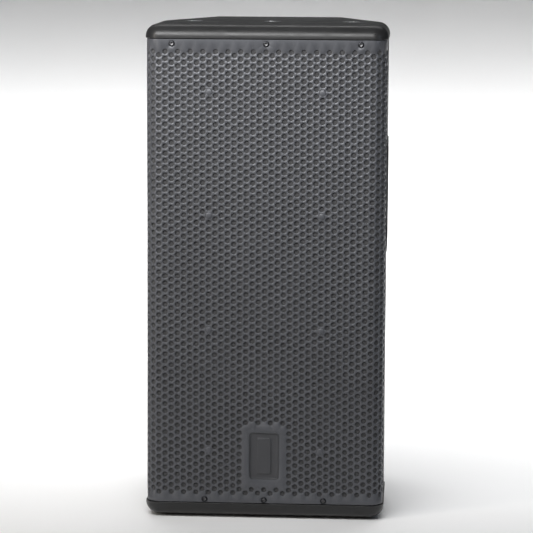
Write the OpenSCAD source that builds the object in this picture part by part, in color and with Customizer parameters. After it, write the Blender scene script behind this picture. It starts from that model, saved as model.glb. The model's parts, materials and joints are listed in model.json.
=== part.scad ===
/* [Cabinet] */
// Overall width, across the end caps
body_w = 334; // [326:1:420]
// Overall depth, front to back
body_d = 350; // [330:1:460]
// Overall height, feet included
body_h = 689; // [680:1:860]
// Width of the back
rear_w = 216; // [212:1:300]
// Plan radius of the front corners
front_r = 22; // [20:0.5:30]
// Plan radius where each side turns in
bend_r = 60; // [40:1:90]
// Where each side starts to turn in, from the middle of the depth
bend_y = -25; // [-60:1:0]
// Plan radius of the rear corners
rear_r = 22; // [20:0.5:26]
// Wall of the moulded shell
shell_wall = 7; // [5:0.5:9]

/* [End caps] */
// Height of each end cap, outside
cap_h = 19; // [18:0.5:30]
// Round along the outer edge of a cap
cap_edge_r = 16.5; // [8:0.5:17]
// Wall of a cap
cap_wall = 3.5; // [2.5:0.25:5]
// How far the caps stand out past the grille and the shell
cap_lip = 1.5; // [1.5:0.1:3]

/* [Grille] */
// Steel sheet of the grille
sheet_t = 1.5; // [1:0.1:2]
// Gap between the grille and what it meets
grille_gap = 1; // [0.5:0.1:2]
// Acoustic foam behind the grille
foam_t = 6; // [4:0.5:10]
// Top screws, left and right of the middle
top_screw_x = 129.5; // [110:0.5:135]
// Bottom screws, left and right of the middle
low_screw_x = 83; // [60:0.5:120]
// Top screws below the top seam
top_screw_drop = 7; // [6.5:0.5:12]
// Bottom screws above the bottom seam
low_screw_rise = 5.5; // [5.5:0.5:12]
// Head diameter of a grille screw
grille_screw_d = 8.5; // [7:0.5:10]
// Rivet columns, left and right of the middle
rivet_x = 77.94; // [60:0.01:110]
// Diameter of the holes that the rivets fill
rivet_hole_d = 7.5; // [6:0.5:9]
// First rivet row below the top seam
rivet_first = 73; // [50:1:100]
// Spacing of the upper and lower pairs of rivet rows
rivet_pair = 170; // [120:1:180]
// Spacing between the two pairs of rivet rows
rivet_middle = 160; // [120:1:180]

/* [Badge] */
// Width of the badge recess
badge_w = 42; // [30:0.5:52]
// Height of the badge recess
badge_h = 67; // [50:0.5:75]
// Corner radius of the badge recess
badge_r = 5; // [3:0.5:8]
// Height of the badge's middle above the bottom seam
badge_rise = 68; // [55:1:90]
// Depth of the badge recess
badge_depth = 2.4; // [1.6:0.1:3]
// Width of the raised field on the badge
badge_field_w = 18.6; // [12:0.2:24]
// Height of the raised field on the badge
badge_field_h = 50; // [40:0.5:56]

/* [Baffle] */
// Distance from the front of the caps to the baffle
baffle_set = 30; // [28:0.5:34]
// Thickness of the baffle
baffle_t = 15; // [12:1:18]
// Gasket between the baffle and the shell
gasket_t = 1.5; // [1:0.5:3]

/* [Woofer] */
// Outer diameter of the woofer frame
woofer_d = 312; // [250:1:312]
// Height of the woofer's axis
woofer_z = 306; // [290:1:320]
// Width of the mounting ring that lies on the baffle
ring_w = 15; // [13:0.5:20]
// Thickness of the mounting ring
ring_t = 5; // [4:0.5:7]
// Depth of the basket behind the baffle's front
basket_depth = 78; // [70:1:90]
// Outer diameter of the basket's seat for the magnet
seat_d = 164; // [140:1:170]
// Width of the surround
surround_w = 11; // [9:0.5:16]
// Outer diameter of the voice coil's former
former_d = 51.2; // [45:0.2:65]
// Outer diameter of the magnet ring
magnet_d = 160; // [130:1:165]
// Thickness of the magnet ring
magnet_t = 22; // [16:1:26]

/* [Horn and driver] */
// Height of the horn's axis
horn_z = 562; // [555:1:566]
// Width of the horn's flange
horn_w = 286; // [260:1:288]
// Height of the horn's flange
horn_h = 180; // [160:1:182]
// Depth from the baffle's front to the throat
horn_depth = 95; // [80:1:110]
// Diameter of the throat
throat_d = 25.4; // [25:0.2:36]
// Outer diameter of the compression driver
driver_d = 110; // [90:1:130]

/* [Ports] */
// Inner diameter of a port tube
port_d = 75; // [50:1:76]
// Length of a port tube
port_l = 150; // [90:1:170]
// Ports, left and right of the middle
port_x = 88; // [80:1:95]
// Height of the ports' middle
port_z = 92; // [88:1:94]

/* [Handles] */
// Height of the side handles' middle
handle_z = 450; // [430:1:470]
// Middle of the handles, from the middle of the depth
handle_y = -74; // [-74:1:-60]
// Front to back opening of a handle cup
handle_w = 80; // [76:1:84]
// Height of the opening of a handle cup
handle_h = 136; // [120:1:150]
// Depth of a handle cup
handle_depth = 48; // [40:1:52]
// Thickness of the grip bar, across the fingers
grip_t = 20; // [16:1:26]

/* [Fittings] */
// Bore of the pole socket
pole_d = 35.5; // [35.3:0.1:38]
// Depth of the pole socket
pole_depth = 85; // [70:1:110]
// Middle of the pole socket, from the middle of the depth
pole_y = -10; // [-30:1:20]
// Side fly points, left and right of the middle one
fly_x = 112; // [90:1:118]
// Middle of the fly points, from the middle of the depth
fly_y = -30; // [-40:1:10]
// Tapping bore of a fly point, M10
fly_bore_d = 8.5; // [8.5:0.1:8.6]
// Diameter of a rubber foot
foot_d = 30; // [24:1:34]
// How far a foot stands below the bottom cap
foot_h = 3; // [2:0.5:6]

/* [Amplifier] */
// Width of the amplifier panel
panel_w = 160; // [150:1:164]
// Height of the amplifier panel
panel_h = 330; // [326:1:360]
// Height of the panel's middle
panel_z = 365; // [350:1:400]
// Thickness of the panel
panel_t = 3; // [2:0.5:4]
// Depth of the recess that the panel sits in
recess_depth = 24; // [22:0.5:30]
// Diameter of a level knob
knob_d = 16; // [12:0.5:20]
// Diameter of a level control's shaft
shaft_d = 6; // [5.9:0.1:6.4]
// Hole for a 6.35 mm jack plug
jack_bore_d = 6.5; // [6.4:0.1:6.6]

/* [Hidden] */
$fn = 96;
HULL_FN = 48;

// Small overrun that lets a cut leave a clean face
cut = 1;
// Clearance of a screw in its hole, on the radius
screw_gap = 0.25;
// Clearance of a piece that drops into a recess, on each side
seat_gap = 0.3;
// Clearance of a shaft that turns in its bearing, on the radius
running_gap = 0.05;
// Gap between the moving cone and the soft rings around it
flex_gap = 0.3;

// Seams between the caps and the middle
low_seam = foot_h + cap_h;
top_seam = body_h - cap_h;
middle_h = top_seam - low_seam;

// Planes from front to back
front_y = -body_d / 2;
grille_y = front_y + cap_lip;
foam_y = grille_y + sheet_t;
baffle_y = front_y + baffle_set;
shell_y = baffle_y + baffle_t + gasket_t;
rear_y = body_d / 2 - cap_lip;
panel_y = rear_y - recess_depth;

// Centres of the plan's rounded corners, on the right side
front_corner = [body_w / 2 - front_r, front_y + front_r];
side_bend = [body_w / 2 - bend_r, bend_y];
rear_corner = [rear_w / 2 - rear_r, body_d / 2 - rear_r];
taper = rear_corner - side_bend;
taper_angle = atan2(taper.y, taper.x) - acos((bend_r - rear_r) / norm(taper));

// Screws: heads as [radius, height], and the holes they go into
screw_r = 2;
shell_screw_r = 2.5;
thread_gap = 0.05;
m5_head = [4.5, 3];
m4_wide_head = [4.5, 2.6];
m4_head = [3.6, 2.2];
m4_tall_head = [3.6, 2.4];
m4_low_head = [3.6, 1.6];
m3_head = [2.8, 1.6];
m3_head_sink = 1.8;
pilot_l = 12;
cap_screw_sink = 3;
boss_r = 4.5;
shell_boss_r = 7;
shell_boss_l = 14;
shell_boss_bite = 2;
shell_boss_x = body_w / 2 - cap_lip - shell_wall - shell_boss_r + shell_boss_bite;
shell_boss_rows = [
    low_seam + 23,
    woofer_z - woofer_d / 2 + ring_w,
    handle_z - handle_h / 2 - 24,
    horn_z - 7,
    top_seam - 23
];

// Woofer radii, from the outside in, and planes in front of the baffle's face
woofer_r = woofer_d / 2;
basket_gap = 1;
basket_hole_r = woofer_r - ring_w;
basket_r = basket_hole_r - basket_gap;
basket_wall = 3;
ring_inner_r = basket_r - basket_wall;
surround_land = 5;
cone_r = ring_inner_r - surround_w - flex_gap;
former_r = former_d / 2;
former_t = 0.4;
winding_t = 0.8;
magnet_gap = 0.8;
pole_gap = 0.6;
pole_r = former_r - former_t - pole_gap;
plate_bore_r = former_r + winding_t + magnet_gap;
spider_r = seat_d / 2 - 6;
spider_plane = -basket_depth + 17;
spider_wave = 1.6;
spider_t = 0.8;
cone_neck = spider_plane + 11;
cone_t = 1.2;
dust_cap_r = former_r + 14;
dust_cap_rise = 14;
top_plate_t = 8;
back_plate_t = 8;
woofer_screw_count = 8;

// Horn
horn_flange_t = 5;
horn_wall = 3;
horn_rim = 24;
mouth = [horn_w / 2 - horn_rim, horn_h / 2 - horn_rim];
horn_steps = 10;
horn_sides = 48;
horn_screw_inset = 9;

// Compression driver, from its mounting face back
driver_r = driver_d / 2;
driver_plate_t = 8;
driver_magnet_t = 22;
plug_r = 22;
coil_slot = 1;
dome_t = 0.5;
driver_stack = 2 * driver_plate_t + driver_magnet_t;
driver_cover_h = 18;

// Handles
handle_wall = 3;
handle_flange = 11;
handle_flange_t = 3;
handle_stand = 1.3;
handle_corner_r = 10;
handle_screw_r = 1.5;
grip_h = 22;
grip_drop = 16;

// Fittings
socket_wall = 5;
socket_floor = 4;
socket_flange_r = pole_d / 2 + 15;
socket_flange_t = 3;
fly_body_r = 9;
fly_flange_r = 13;
fly_flange_t = 2;
rigging_t = 3;
fly_floor = 3;
fly_length = cap_h + shell_wall + rigging_t + fly_floor;
fly_places = [-fly_x, 0, fly_x];
socket_r = pole_d / 2 + socket_wall;
socket_screw_sink = 2;
foot_height = foot_h + 5;
foot_screw_sink = 3.5;
foot_screw_bore_r = 5;
foot_front = [120, shell_y + 18];
foot_rear = [72, rear_y - 44];
cap_screw_front = [134, shell_y + 12];
cap_screw_rear = [76, rear_y - 36];

// Amplifier, columns and rows on the panel
panel_lap = 8;
panel_frame = 7;
column_x = 36;
led_row = panel_z + 26;
knob_row = panel_z - 8;
jack_row = panel_z - 56;
link_row = panel_z - 102;
mains_row = panel_z - 141;
bezel = [26, 31];
bezel_t = 3;
jack_body_r = 11.5;
jack_depth = 26;
latch = [8, 4.5];
latch_offset = 0.8;
latch_rise = 3;
latch_travel = 1.5;
jack_floor = 2;
link_floor = 3;
link_pin_l = 16;
bushing_r = 4.5;
knob_l = 13;
knob_floor = 4;
button_w = 6;
button_rise = 5;
rocker = [15, 23];
rocker_angle = 9;
switch_body = rocker + [5, 2];
inlet = [48, 26];
inlet_hole = [25, 17];
inlet_body = inlet_hole + [5, 5];
inlet_depth = 14;
light_r = 1.9;
light_pitch = 12;
fin_count = 15;
fin_t = 1.8;
fin_h = 15;
heatsink = [134, 112];
heatsink_base = 4;
heatsink_z = panel_z + 92;
board = [130, 250];
board_t = 1.6;
board_back = 34;
board_y = panel_y - panel_t - board_back;

// Ports
port_wall = 2.5;
port_flange = 9;
port_flange_t = 3;
port_flare = 8;

// Badge
badge_border = 4;
badge_rim = [badge_w + 2 * badge_border, badge_h + 2 * badge_border];
badge_plate_t = 1.6;

// Leads from the board to the woofer's terminals and to the driver's cover
lead_gap = 0.5;
woofer_lead_start = [45, board_y - lead_gap, panel_z - 109];
woofer_lead_end = [-5.5, baffle_y + basket_depth - 1, woofer_z - seat_d / 2 - 13];
horn_lead_start = [45, board_y - lead_gap, panel_z + 111];
horn_lead_end = [0, baffle_y + horn_depth + driver_stack + driver_cover_h + lead_gap, horn_z - 10];
lead_r = 2.5;
lead_sides = 10;
lead_steps = 14;

// Colours
case_black = [0.11, 0.115, 0.125];
steel_grey = [0.27, 0.28, 0.31];
bright_steel = [0.75, 0.76, 0.78];
screw_black = [0.08, 0.08, 0.09];
paper_black = [0.16, 0.16, 0.17];
rubber_black = [0.06, 0.06, 0.06];
board_green = [0.10, 0.32, 0.20];
copper = [0.72, 0.42, 0.22];

// ---- Shared shapes ----

function heading(angle) = [cos(angle), sin(angle)];

function half_outline(inset) = [
    front_corner + [0, -(front_r - inset)],
    front_corner + [front_r - inset, 0],
    side_bend + [bend_r - inset, 0],
    side_bend + (bend_r - inset) * heading(taper_angle),
    rear_corner + (rear_r - inset) * heading(taper_angle),
    rear_corner + [0, rear_r - inset]
];

function other_half(points) = [for (i = [len(points) - 1 : -1 : 0]) [-points[i].x, points[i].y]];

// The cabinet seen from above, pulled in by an inset
module plan(inset) {
    right = half_outline(inset);
    polygon(concat(right, other_half(right)));
    for (side = [-1, 1]) {
        translate([side * front_corner.x, front_corner.y]) circle(front_r - inset);
        translate([side * side_bend.x, side_bend.y]) circle(bend_r - inset);
        translate([side * rear_corner.x, rear_corner.y]) circle(rear_r - inset);
    }
}

module round_rect(w, h, r) {
    square([w - 2 * r, h], center = true);
    square([w, h - 2 * r], center = true);
    for (x = [-1, 1], y = [-1, 1])
        translate([x * (w / 2 - r), y * (h / 2 - r)]) circle(r);
}

// Stands a shape on a plane across the depth, so that its +Z points to the front
module face_front(x, y, z) {
    translate([x, y, z]) rotate([90, 0, 0]) children();
}

// Stands a shape on a plane across the depth, so that its +Z points to the back
module face_back(x, y, z) {
    translate([x, y, z]) rotate([-90, 0, 0]) children();
}

module ring(outer_r, inner_r, h) {
    difference() {
        cylinder(r = outer_r, h = h);
        translate([0, 0, -cut]) cylinder(r = inner_r, h = h + 2 * cut);
    }
}

module around(count, radius) {
    for (i = [0 : count - 1])
        rotate(360 * (i + 0.5) / count) translate([radius, 0, 0]) children();
}

// A screw with its head above the plane and its shank below
module screw(head, shank_r, shank_l) {
    difference() {
        union() {
            cylinder(r = head[0], h = head[1]);
            translate([0, 0, -shank_l]) cylinder(r = shank_r, h = shank_l + cut / 2);
        }
        translate([0, 0, 0.35 * head[1]]) cylinder(r = 0.45 * head[0], h = head[1], $fn = 6);
    }
}

// A solid through rings of points that all have the same count
module loft(rings) {
    count = len(rings[0]);
    last = len(rings) - 1;
    points = [for (section = rings) each section];
    polyhedron(
        points,
        concat(
            [[for (i = [0 : count - 1]) i]],
            [[for (i = [count - 1 : -1 : 0]) last * count + i]],
            [for (k = [0 : last - 1], i = [0 : count - 1])
                [k * count + i, (k + 1) * count + i, k * count + (i + 1) % count]],
            [for (k = [0 : last - 1], i = [0 : count - 1])
                [k * count + (i + 1) % count, (k + 1) * count + i, (k + 1) * count + (i + 1) % count]]
        )
    );
}

// ---- Enclosure ----

module shell_bosses() {
    for (side = [-1, 1], z = shell_boss_rows)
        translate([side * shell_boss_x, shell_y + shell_boss_l, z]) rotate([90, 0, 0]) children();
}

module rear_block(wall) {
    w = panel_w + 2 * (panel_frame + wall);
    h = panel_h + 2 * (panel_frame + wall);
    translate([-w / 2, panel_y - panel_t - wall, panel_z - h / 2]) cube([w, body_d, h]);
}

module cabinet_shell() {
    inner = cap_lip + shell_wall;
    color(case_black) difference() {
        union() {
            difference() {
                translate([0, 0, low_seam]) linear_extrude(middle_h) plan(cap_lip);
                difference() {
                    translate([0, 0, low_seam + shell_wall])
                        linear_extrude(middle_h - 2 * shell_wall) plan(inner);
                    rear_block(shell_wall);
                }
            }
            shell_bosses() cylinder(r = shell_boss_r, h = shell_boss_l);
        }
        translate([-body_w, shell_y - body_d, 0]) cube([2 * body_w, body_d, body_h]);
        rear_block_recess();
        shell_bosses() translate([0, 0, cut]) cylinder(r = shell_screw_r, h = shell_boss_l);
        for (side = [0, 1]) mirror([side, 0, 0]) handle_seat();
        fly_bodies(seat_gap);
        socket_body(seat_gap);
        cap_screw_places() translate([0, 0, -12]) cylinder(r = screw_r, h = 12 + cut);
        foot_places() translate([0, 0, low_seam - cut]) cylinder(r = screw_r, h = 12);
        amp_screw_places() cylinder(r = screw_r, h = 40, center = true);
    }
}

// The space behind the cabinet's back that the amplifier panel closes
module rear_block_recess() {
    w = panel_w + 2 * panel_frame;
    h = panel_h + 2 * panel_frame;
    translate([-w / 2, panel_y, panel_z - h / 2]) cube([w, body_d, h]);
    face_back(0, panel_y - panel_t - cut / 2, panel_z) linear_extrude(panel_t + cut)
        square([panel_w + 2 * seat_gap, panel_h + 2 * seat_gap], center = true);
    face_back(0, 0, panel_z)
        linear_extrude(body_d) square([panel_w - 2 * panel_lap, panel_h - 2 * panel_lap], center = true);
}

module baffle_blank(inset, t) {
    w = body_w - 2 * (cap_lip + sheet_t + grille_gap / 2 + inset);
    h = middle_h - grille_gap - 2 * inset;
    face_front(0, 0, low_seam + middle_h / 2) linear_extrude(t) round_rect(w, h, 4);
}

module grille_screw_places() {
    for (x = [-top_screw_x, 0, top_screw_x])
        face_front(x, grille_y, top_seam - top_screw_drop) children();
    for (x = [-low_screw_x, 0, low_screw_x])
        face_front(x, grille_y, low_seam + low_screw_rise) children();
}

module woofer_screw_places() {
    face_front(0, baffle_y, woofer_z) around(woofer_screw_count, woofer_r - ring_w / 2) children();
}

module horn_screw_places() {
    across = horn_w / 2 - horn_screw_inset;
    upward = horn_h / 2 - horn_screw_inset;
    for (x = [-across, 0, across], z = [-upward, upward])
        face_front(x, baffle_y, horn_z + z) children();
}

module front_baffle() {
    boss_l = baffle_y - foam_y;
    color(case_black) difference() {
        union() {
            translate([0, baffle_y + baffle_t, 0]) baffle_blank(0, baffle_t);
            grille_screw_places() translate([0, 0, -sheet_t - boss_l - cut])
                cylinder(r = boss_r, h = boss_l + cut);
        }
        face_back(0, baffle_y - cut, woofer_z) cylinder(r = basket_hole_r, h = baffle_t + 2 * cut);
        face_back(0, baffle_y - cut, horn_z) linear_extrude(baffle_t + 2 * cut)
            square([2 * mouth.x + 12, 2 * mouth.y + 12], center = true);
        for (side = [-1, 1])
            face_back(side * port_x, baffle_y - cut, port_z)
                cylinder(d = port_d + 2 * port_wall + 2 * seat_gap, h = baffle_t + 2 * cut);
        grille_screw_places() translate([0, 0, -18]) cylinder(r = screw_r - screw_gap, h = 18);
        woofer_screw_places() translate([0, 0, -pilot_l])
            cylinder(r = shell_screw_r - screw_gap, h = pilot_l + cut);
        horn_screw_places() translate([0, 0, -pilot_l])
            cylinder(r = screw_r - screw_gap, h = pilot_l + cut);
        shell_bosses() cylinder(r = shell_screw_r + screw_gap, h = 3 * shell_boss_l);
    }
}

module baffle_gasket() {
    color(rubber_black) difference() {
        translate([0, shell_y, 0]) baffle_blank(0, gasket_t);
        translate([0, shell_y + cut, 0])
            baffle_blank(2 * shell_boss_r + shell_wall - 4, gasket_t + 2 * cut);
        shell_bosses() cylinder(r = shell_screw_r + screw_gap, h = 3 * shell_boss_l);
    }
}

module baffle_screws() {
    head_lift = shell_boss_l + gasket_t + baffle_t;
    color(screw_black) shell_bosses() translate([0, 0, head_lift])
        screw(m5_head, shell_screw_r - thread_gap, head_lift - 3);
}

// ---- End caps ----

function edge_profile(r, h, edge_r) = concat(
    [[0, 0], [r, 0]],
    [for (i = [0 : 8]) [r - edge_r, h - edge_r] + edge_r * heading(i * 90 / 8)],
    [[0, h]]
);

// A solid end cap that stands on its seam, with its outer edge rounded
module cap_block(inset, h, edge_r) {
    corners = [[front_corner, front_r], [side_bend, bend_r], [rear_corner, rear_r]];
    hull()
        for (side = [-1, 1], corner = corners)
            translate([side * corner[0].x, corner[0].y, 0])
                rotate_extrude($fn = HULL_FN)
                    polygon(edge_profile(corner[1] - inset, h, edge_r));
}

module at_corners(front, rear) {
    for (side = [-1, 1], place = [front, rear]) translate([side * place.x, place.y, 0]) children();
}

module cap_screw_places() {
    at_corners(cap_screw_front, cap_screw_rear) translate([0, 0, top_seam]) children();
}

module foot_places() {
    at_corners(foot_front, foot_rear) children();
}

module hollow_cap() {
    difference() {
        cap_block(0, cap_h, cap_edge_r);
        translate([0, 0, -cut]) cap_block(cap_wall, cap_h - cap_wall + cut, cap_edge_r - cap_wall);
    }
}

module top_cap() {
    pillar_h = cap_h - cap_wall / 2;
    color(case_black) difference() {
        union() {
            translate([0, 0, top_seam]) hollow_cap();
            cap_screw_places() cylinder(r = 8, h = pillar_h);
            for (x = fly_places) translate([x, fly_y, top_seam])
                cylinder(r = fly_flange_r + 3, h = pillar_h);
        }
        cap_screw_places() translate([0, 0, -cut]) cylinder(r = screw_r + screw_gap, h = cap_h + 2 * cut);
        cap_screw_places() translate([0, 0, cap_h - cap_screw_sink])
            cylinder(r = m4_wide_head[0] + screw_gap, h = cap_screw_sink + cut);
        fly_bodies(seat_gap);
    }
}

module bottom_cap() {
    pillar_h = cap_h - cap_wall / 2;
    color(case_black) difference() {
        union() {
            translate([0, 0, low_seam]) mirror([0, 0, 1]) hollow_cap();
            foot_places() translate([0, 0, low_seam - pillar_h]) cylinder(d = foot_d + 8, h = pillar_h);
            translate([0, pole_y, low_seam - pillar_h]) cylinder(r = socket_flange_r + 4, h = pillar_h);
        }
        foot_places() cylinder(r = screw_r + screw_gap, h = low_seam + cut);
        foot_places() cylinder(d = foot_d + 2 * seat_gap, h = foot_height);
        socket_body(seat_gap);
        socket_screw_places() cylinder(r = screw_r - screw_gap, h = 14);
    }
}

module cap_screws() {
    color(screw_black) cap_screw_places() translate([0, 0, cap_h - cap_screw_sink])
        screw(m4_wide_head, screw_r - thread_gap, cap_h + 6);
}

// ---- Grille ----

module skin(outer_inset, t, back_y) {
    difference() {
        plan(outer_inset);
        plan(outer_inset + t);
        translate([-body_w, back_y]) square([2 * body_w, 2 * body_d]);
    }
}

module rivet_places() {
    for (x = [-rivet_x, rivet_x], pair = [0, rivet_pair + rivet_middle], step = [0, rivet_pair])
        face_front(x, grille_y, top_seam - rivet_first - pair - step) children();
}

module grille() {
    color(steel_grey) difference() {
        translate([0, 0, low_seam + grille_gap])
            linear_extrude(middle_h - 2 * grille_gap) skin(cap_lip, sheet_t, shell_y - grille_gap);
        face_front(0, grille_y, low_seam + badge_rise) translate([0, 0, -sheet_t - cut])
            linear_extrude(sheet_t + 2 * cut) round_rect(badge_w, badge_h, badge_r);
        rivet_places() translate([0, 0, -sheet_t - cut])
            cylinder(d = rivet_hole_d, h = sheet_t + 2 * cut);
        grille_screw_places() translate([0, 0, -sheet_t - cut])
            cylinder(r = screw_r + screw_gap, h = sheet_t + 2 * cut);
    }
}

module grille_foam() {
    inset = cap_lip + sheet_t + 0.2;
    back_y = baffle_y - 4;
    color([0.13, 0.13, 0.14]) difference() {
        translate([0, 0, low_seam + grille_gap + 1])
            linear_extrude(middle_h - 2 * grille_gap - 2) skin(inset, foam_t, back_y);
        face_front(0, grille_y, low_seam + badge_rise) translate([0, 0, -sheet_t - foam_t - cut])
            linear_extrude(sheet_t + foam_t + 2 * cut)
                round_rect(badge_rim.x + 1, badge_rim.y + 1, badge_r + badge_border);
        rivet_places() translate([0, 0, -sheet_t - foam_t - cut])
            cylinder(d = rivet_hole_d, h = sheet_t + foam_t + 2 * cut);
        grille_screw_places() translate([0, 0, -sheet_t - foam_t - cut])
            cylinder(r = boss_r + seat_gap, h = sheet_t + foam_t + 2 * cut);
    }
}

module grille_screws() {
    head = [grille_screw_d / 2, cap_lip - 0.1];
    color(screw_black) grille_screw_places() screw(head, screw_r - screw_gap, 14);
}

// Low domed rivets that hold the foam to the grille
module foam_rivets() {
    head_r = rivet_hole_d / 2 + 0.75;
    dome_h = cap_lip - 0.1;
    dome_r = (head_r * head_r + dome_h * dome_h) / (2 * dome_h);
    pin_l = sheet_t + foam_t + 1;
    color(steel_grey) rivet_places() {
        intersection() {
            translate([0, 0, dome_h - dome_r]) sphere(dome_r);
            cylinder(r = head_r, h = dome_h + cut);
        }
        translate([0, 0, -pin_l]) cylinder(d = rivet_hole_d - 0.4, h = pin_l + 0.2);
        translate([0, 0, -pin_l - 1]) cylinder(d = rivet_hole_d + 6, h = 1.5);
    }
}

// A plain recessed plate with a raised blank field
module badge_plate() {
    floor_z = -badge_depth - badge_plate_t;
    w = badge_w - 2 * seat_gap;
    h = badge_h - 2 * seat_gap;
    color(steel_grey) face_front(0, grille_y, low_seam + badge_rise) {
        difference() {
            union() {
                translate([0, 0, floor_z]) linear_extrude(-floor_z - 0.2)
                    round_rect(w, h, badge_r - seat_gap);
                translate([0, 0, floor_z]) linear_extrude(-floor_z - sheet_t)
                    round_rect(badge_rim.x, badge_rim.y, badge_r + badge_border);
            }
            translate([0, 0, -badge_depth]) linear_extrude(badge_depth + cut)
                round_rect(w - 2, h - 2, badge_r - seat_gap - 1);
        }
        translate([0, 0, -badge_depth - cut / 2]) linear_extrude(badge_depth + cut / 2 - 0.4)
            round_rect(badge_field_w, badge_field_h, 2.5);
    }
}

// ---- Feet, handles and fittings ----

module rubber_feet() {
    color(rubber_black) foot_places() difference() {
        cylinder(d = foot_d, h = foot_height);
        translate([0, 0, -cut]) cylinder(r = screw_r + screw_gap, h = foot_height + 2 * cut);
        translate([0, 0, -cut]) cylinder(r = foot_screw_bore_r, h = foot_screw_sink + cut);
    }
}

module handle_block(extra, depth) {
    w = handle_w + 2 * extra;
    h = handle_h + 2 * extra;
    rotate([0, 90, 0]) translate([0, 0, -depth]) linear_extrude(depth)
        round_rect(h, w, handle_corner_r + extra);
}

module handle_place() {
    translate([body_w / 2 - cap_lip, handle_y, handle_z]) children();
}

module handle_screw_places() {
    lip_middle = (handle_wall + handle_flange) / 2;
    handle_place() for (y = [-1, 1], z = [-1, 1])
        translate([handle_stand, y * (handle_w / 2 + lip_middle), z * (handle_h / 2 - 12)])
            rotate([0, 90, 0]) children();
}

// What the right side of the shell loses so that a handle can sit in it
module handle_seat() {
    handle_place() {
        translate([cut, 0, 0]) handle_block(handle_wall + seat_gap, 4 * shell_wall);
        translate([cut, 0, 0])
            handle_block(handle_flange + seat_gap, handle_flange_t - handle_stand + cut);
    }
    handle_screw_places() translate([0, 0, -9]) cylinder(r = handle_screw_r, h = 9);
}

// A recessed cup with a grip bar across it, for the right side
module handle() {
    bar_w = handle_w + handle_wall;
    difference() {
        handle_place() {
            handle_block(handle_wall, handle_depth);
            translate([handle_stand, 0, 0]) handle_block(handle_flange, handle_flange_t);
        }
        handle_place() translate([handle_stand + cut, 0, 0])
            handle_block(0, handle_depth + handle_stand + cut - handle_wall);
        handle_screw_places() {
            translate([0, 0, -handle_flange_t - cut]) cylinder(r = handle_screw_r + screw_gap, h = 9);
            translate([0, 0, -m3_head_sink]) cylinder(r = m3_head[0] + 0.2, h = m3_head_sink + cut);
        }
    }
    handle_place() translate([-grip_t / 2, bar_w / 2, grip_drop + grip_h / 2])
        rotate([90, 0, 0]) linear_extrude(bar_w) round_rect(grip_t, grip_h, 0.4 * grip_t);
}

module handle_right() {
    color(case_black) handle();
}

module handle_left() {
    color(case_black) mirror([1, 0, 0]) handle();
}

module handle_screws() {
    color(screw_black) for (side = [0, 1]) mirror([side, 0, 0])
        handle_screw_places() translate([0, 0, -m3_head_sink])
            screw(m3_head, handle_screw_r - thread_gap, 6.5);
}

module socket_body(gap) {
    translate([0, pole_y, foot_h - cut]) cylinder(r = socket_flange_r + gap, h = socket_flange_t + cut);
    translate([0, pole_y, foot_h]) cylinder(r = socket_r + gap, h = pole_depth + socket_floor);
}

module socket_screw_places() {
    translate([0, pole_y, 0]) around(4, socket_r + 5) children();
}

module pole_socket() {
    color(rubber_black) difference() {
        union() {
            translate([0, pole_y, foot_h]) cylinder(r = socket_flange_r, h = socket_flange_t);
            translate([0, pole_y, foot_h]) cylinder(r = socket_r, h = pole_depth + socket_floor);
        }
        translate([0, pole_y, foot_h - cut]) cylinder(d = pole_d, h = pole_depth + cut);
        socket_screw_places() cylinder(r = screw_r + screw_gap, h = foot_h + socket_flange_t + cut);
        socket_screw_places() translate([0, 0, foot_h - cut])
            cylinder(r = m4_low_head[0] + 0.4, h = socket_screw_sink + cut);
    }
}

// The screws of the feet and of the pole socket
module underside_screws() {
    color(screw_black) {
        foot_places() translate([0, 0, foot_screw_sink]) rotate([180, 0, 0])
            screw(m4_head, screw_r - thread_gap, low_seam + 4);
        socket_screw_places() translate([0, 0, foot_h + socket_screw_sink]) rotate([180, 0, 0])
            screw(m4_low_head, screw_r - screw_gap - thread_gap, 9);
    }
}

module fly_bodies(gap) {
    for (x = fly_places) translate([x, fly_y, 0]) {
        translate([0, 0, body_h - fly_length]) cylinder(r = fly_body_r + gap, h = fly_length + cut);
        translate([0, 0, body_h - fly_flange_t])
            cylinder(r = fly_flange_r + gap, h = fly_flange_t + cut);
    }
}

module fly_points() {
    color(bright_steel) for (x = fly_places) translate([x, fly_y, body_h]) difference() {
        union() {
            translate([0, 0, -fly_length]) cylinder(r = fly_body_r, h = fly_length);
            translate([0, 0, -fly_flange_t]) cylinder(r = fly_flange_r, h = fly_flange_t);
        }
        translate([0, 0, fly_floor - fly_length]) cylinder(d = fly_bore_d, h = fly_length);
    }
}

module rigging_plate() {
    z = top_seam - shell_wall - rigging_t;
    color(bright_steel) difference() {
        translate([0, fly_y, z]) linear_extrude(rigging_t) round_rect(2 * fly_x + 50, 46, 6);
        fly_bodies(0.1);
    }
}

// Wadding that hangs on the side walls behind the handles
module damping_pads() {
    pad = [14, 60, 150];
    color([0.85, 0.85, 0.8]) for (side = [-1, 1])
        translate([side * (body_w / 2 - cap_lip - shell_wall - pad.x / 2 - 1), handle_y, handle_z - 190])
            cube(pad, center = true);
}

// ---- Woofer, drawn with its axis up and the baffle's front at zero ----

module woofer_place() {
    face_front(0, baffle_y, woofer_z) children();
}

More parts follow.
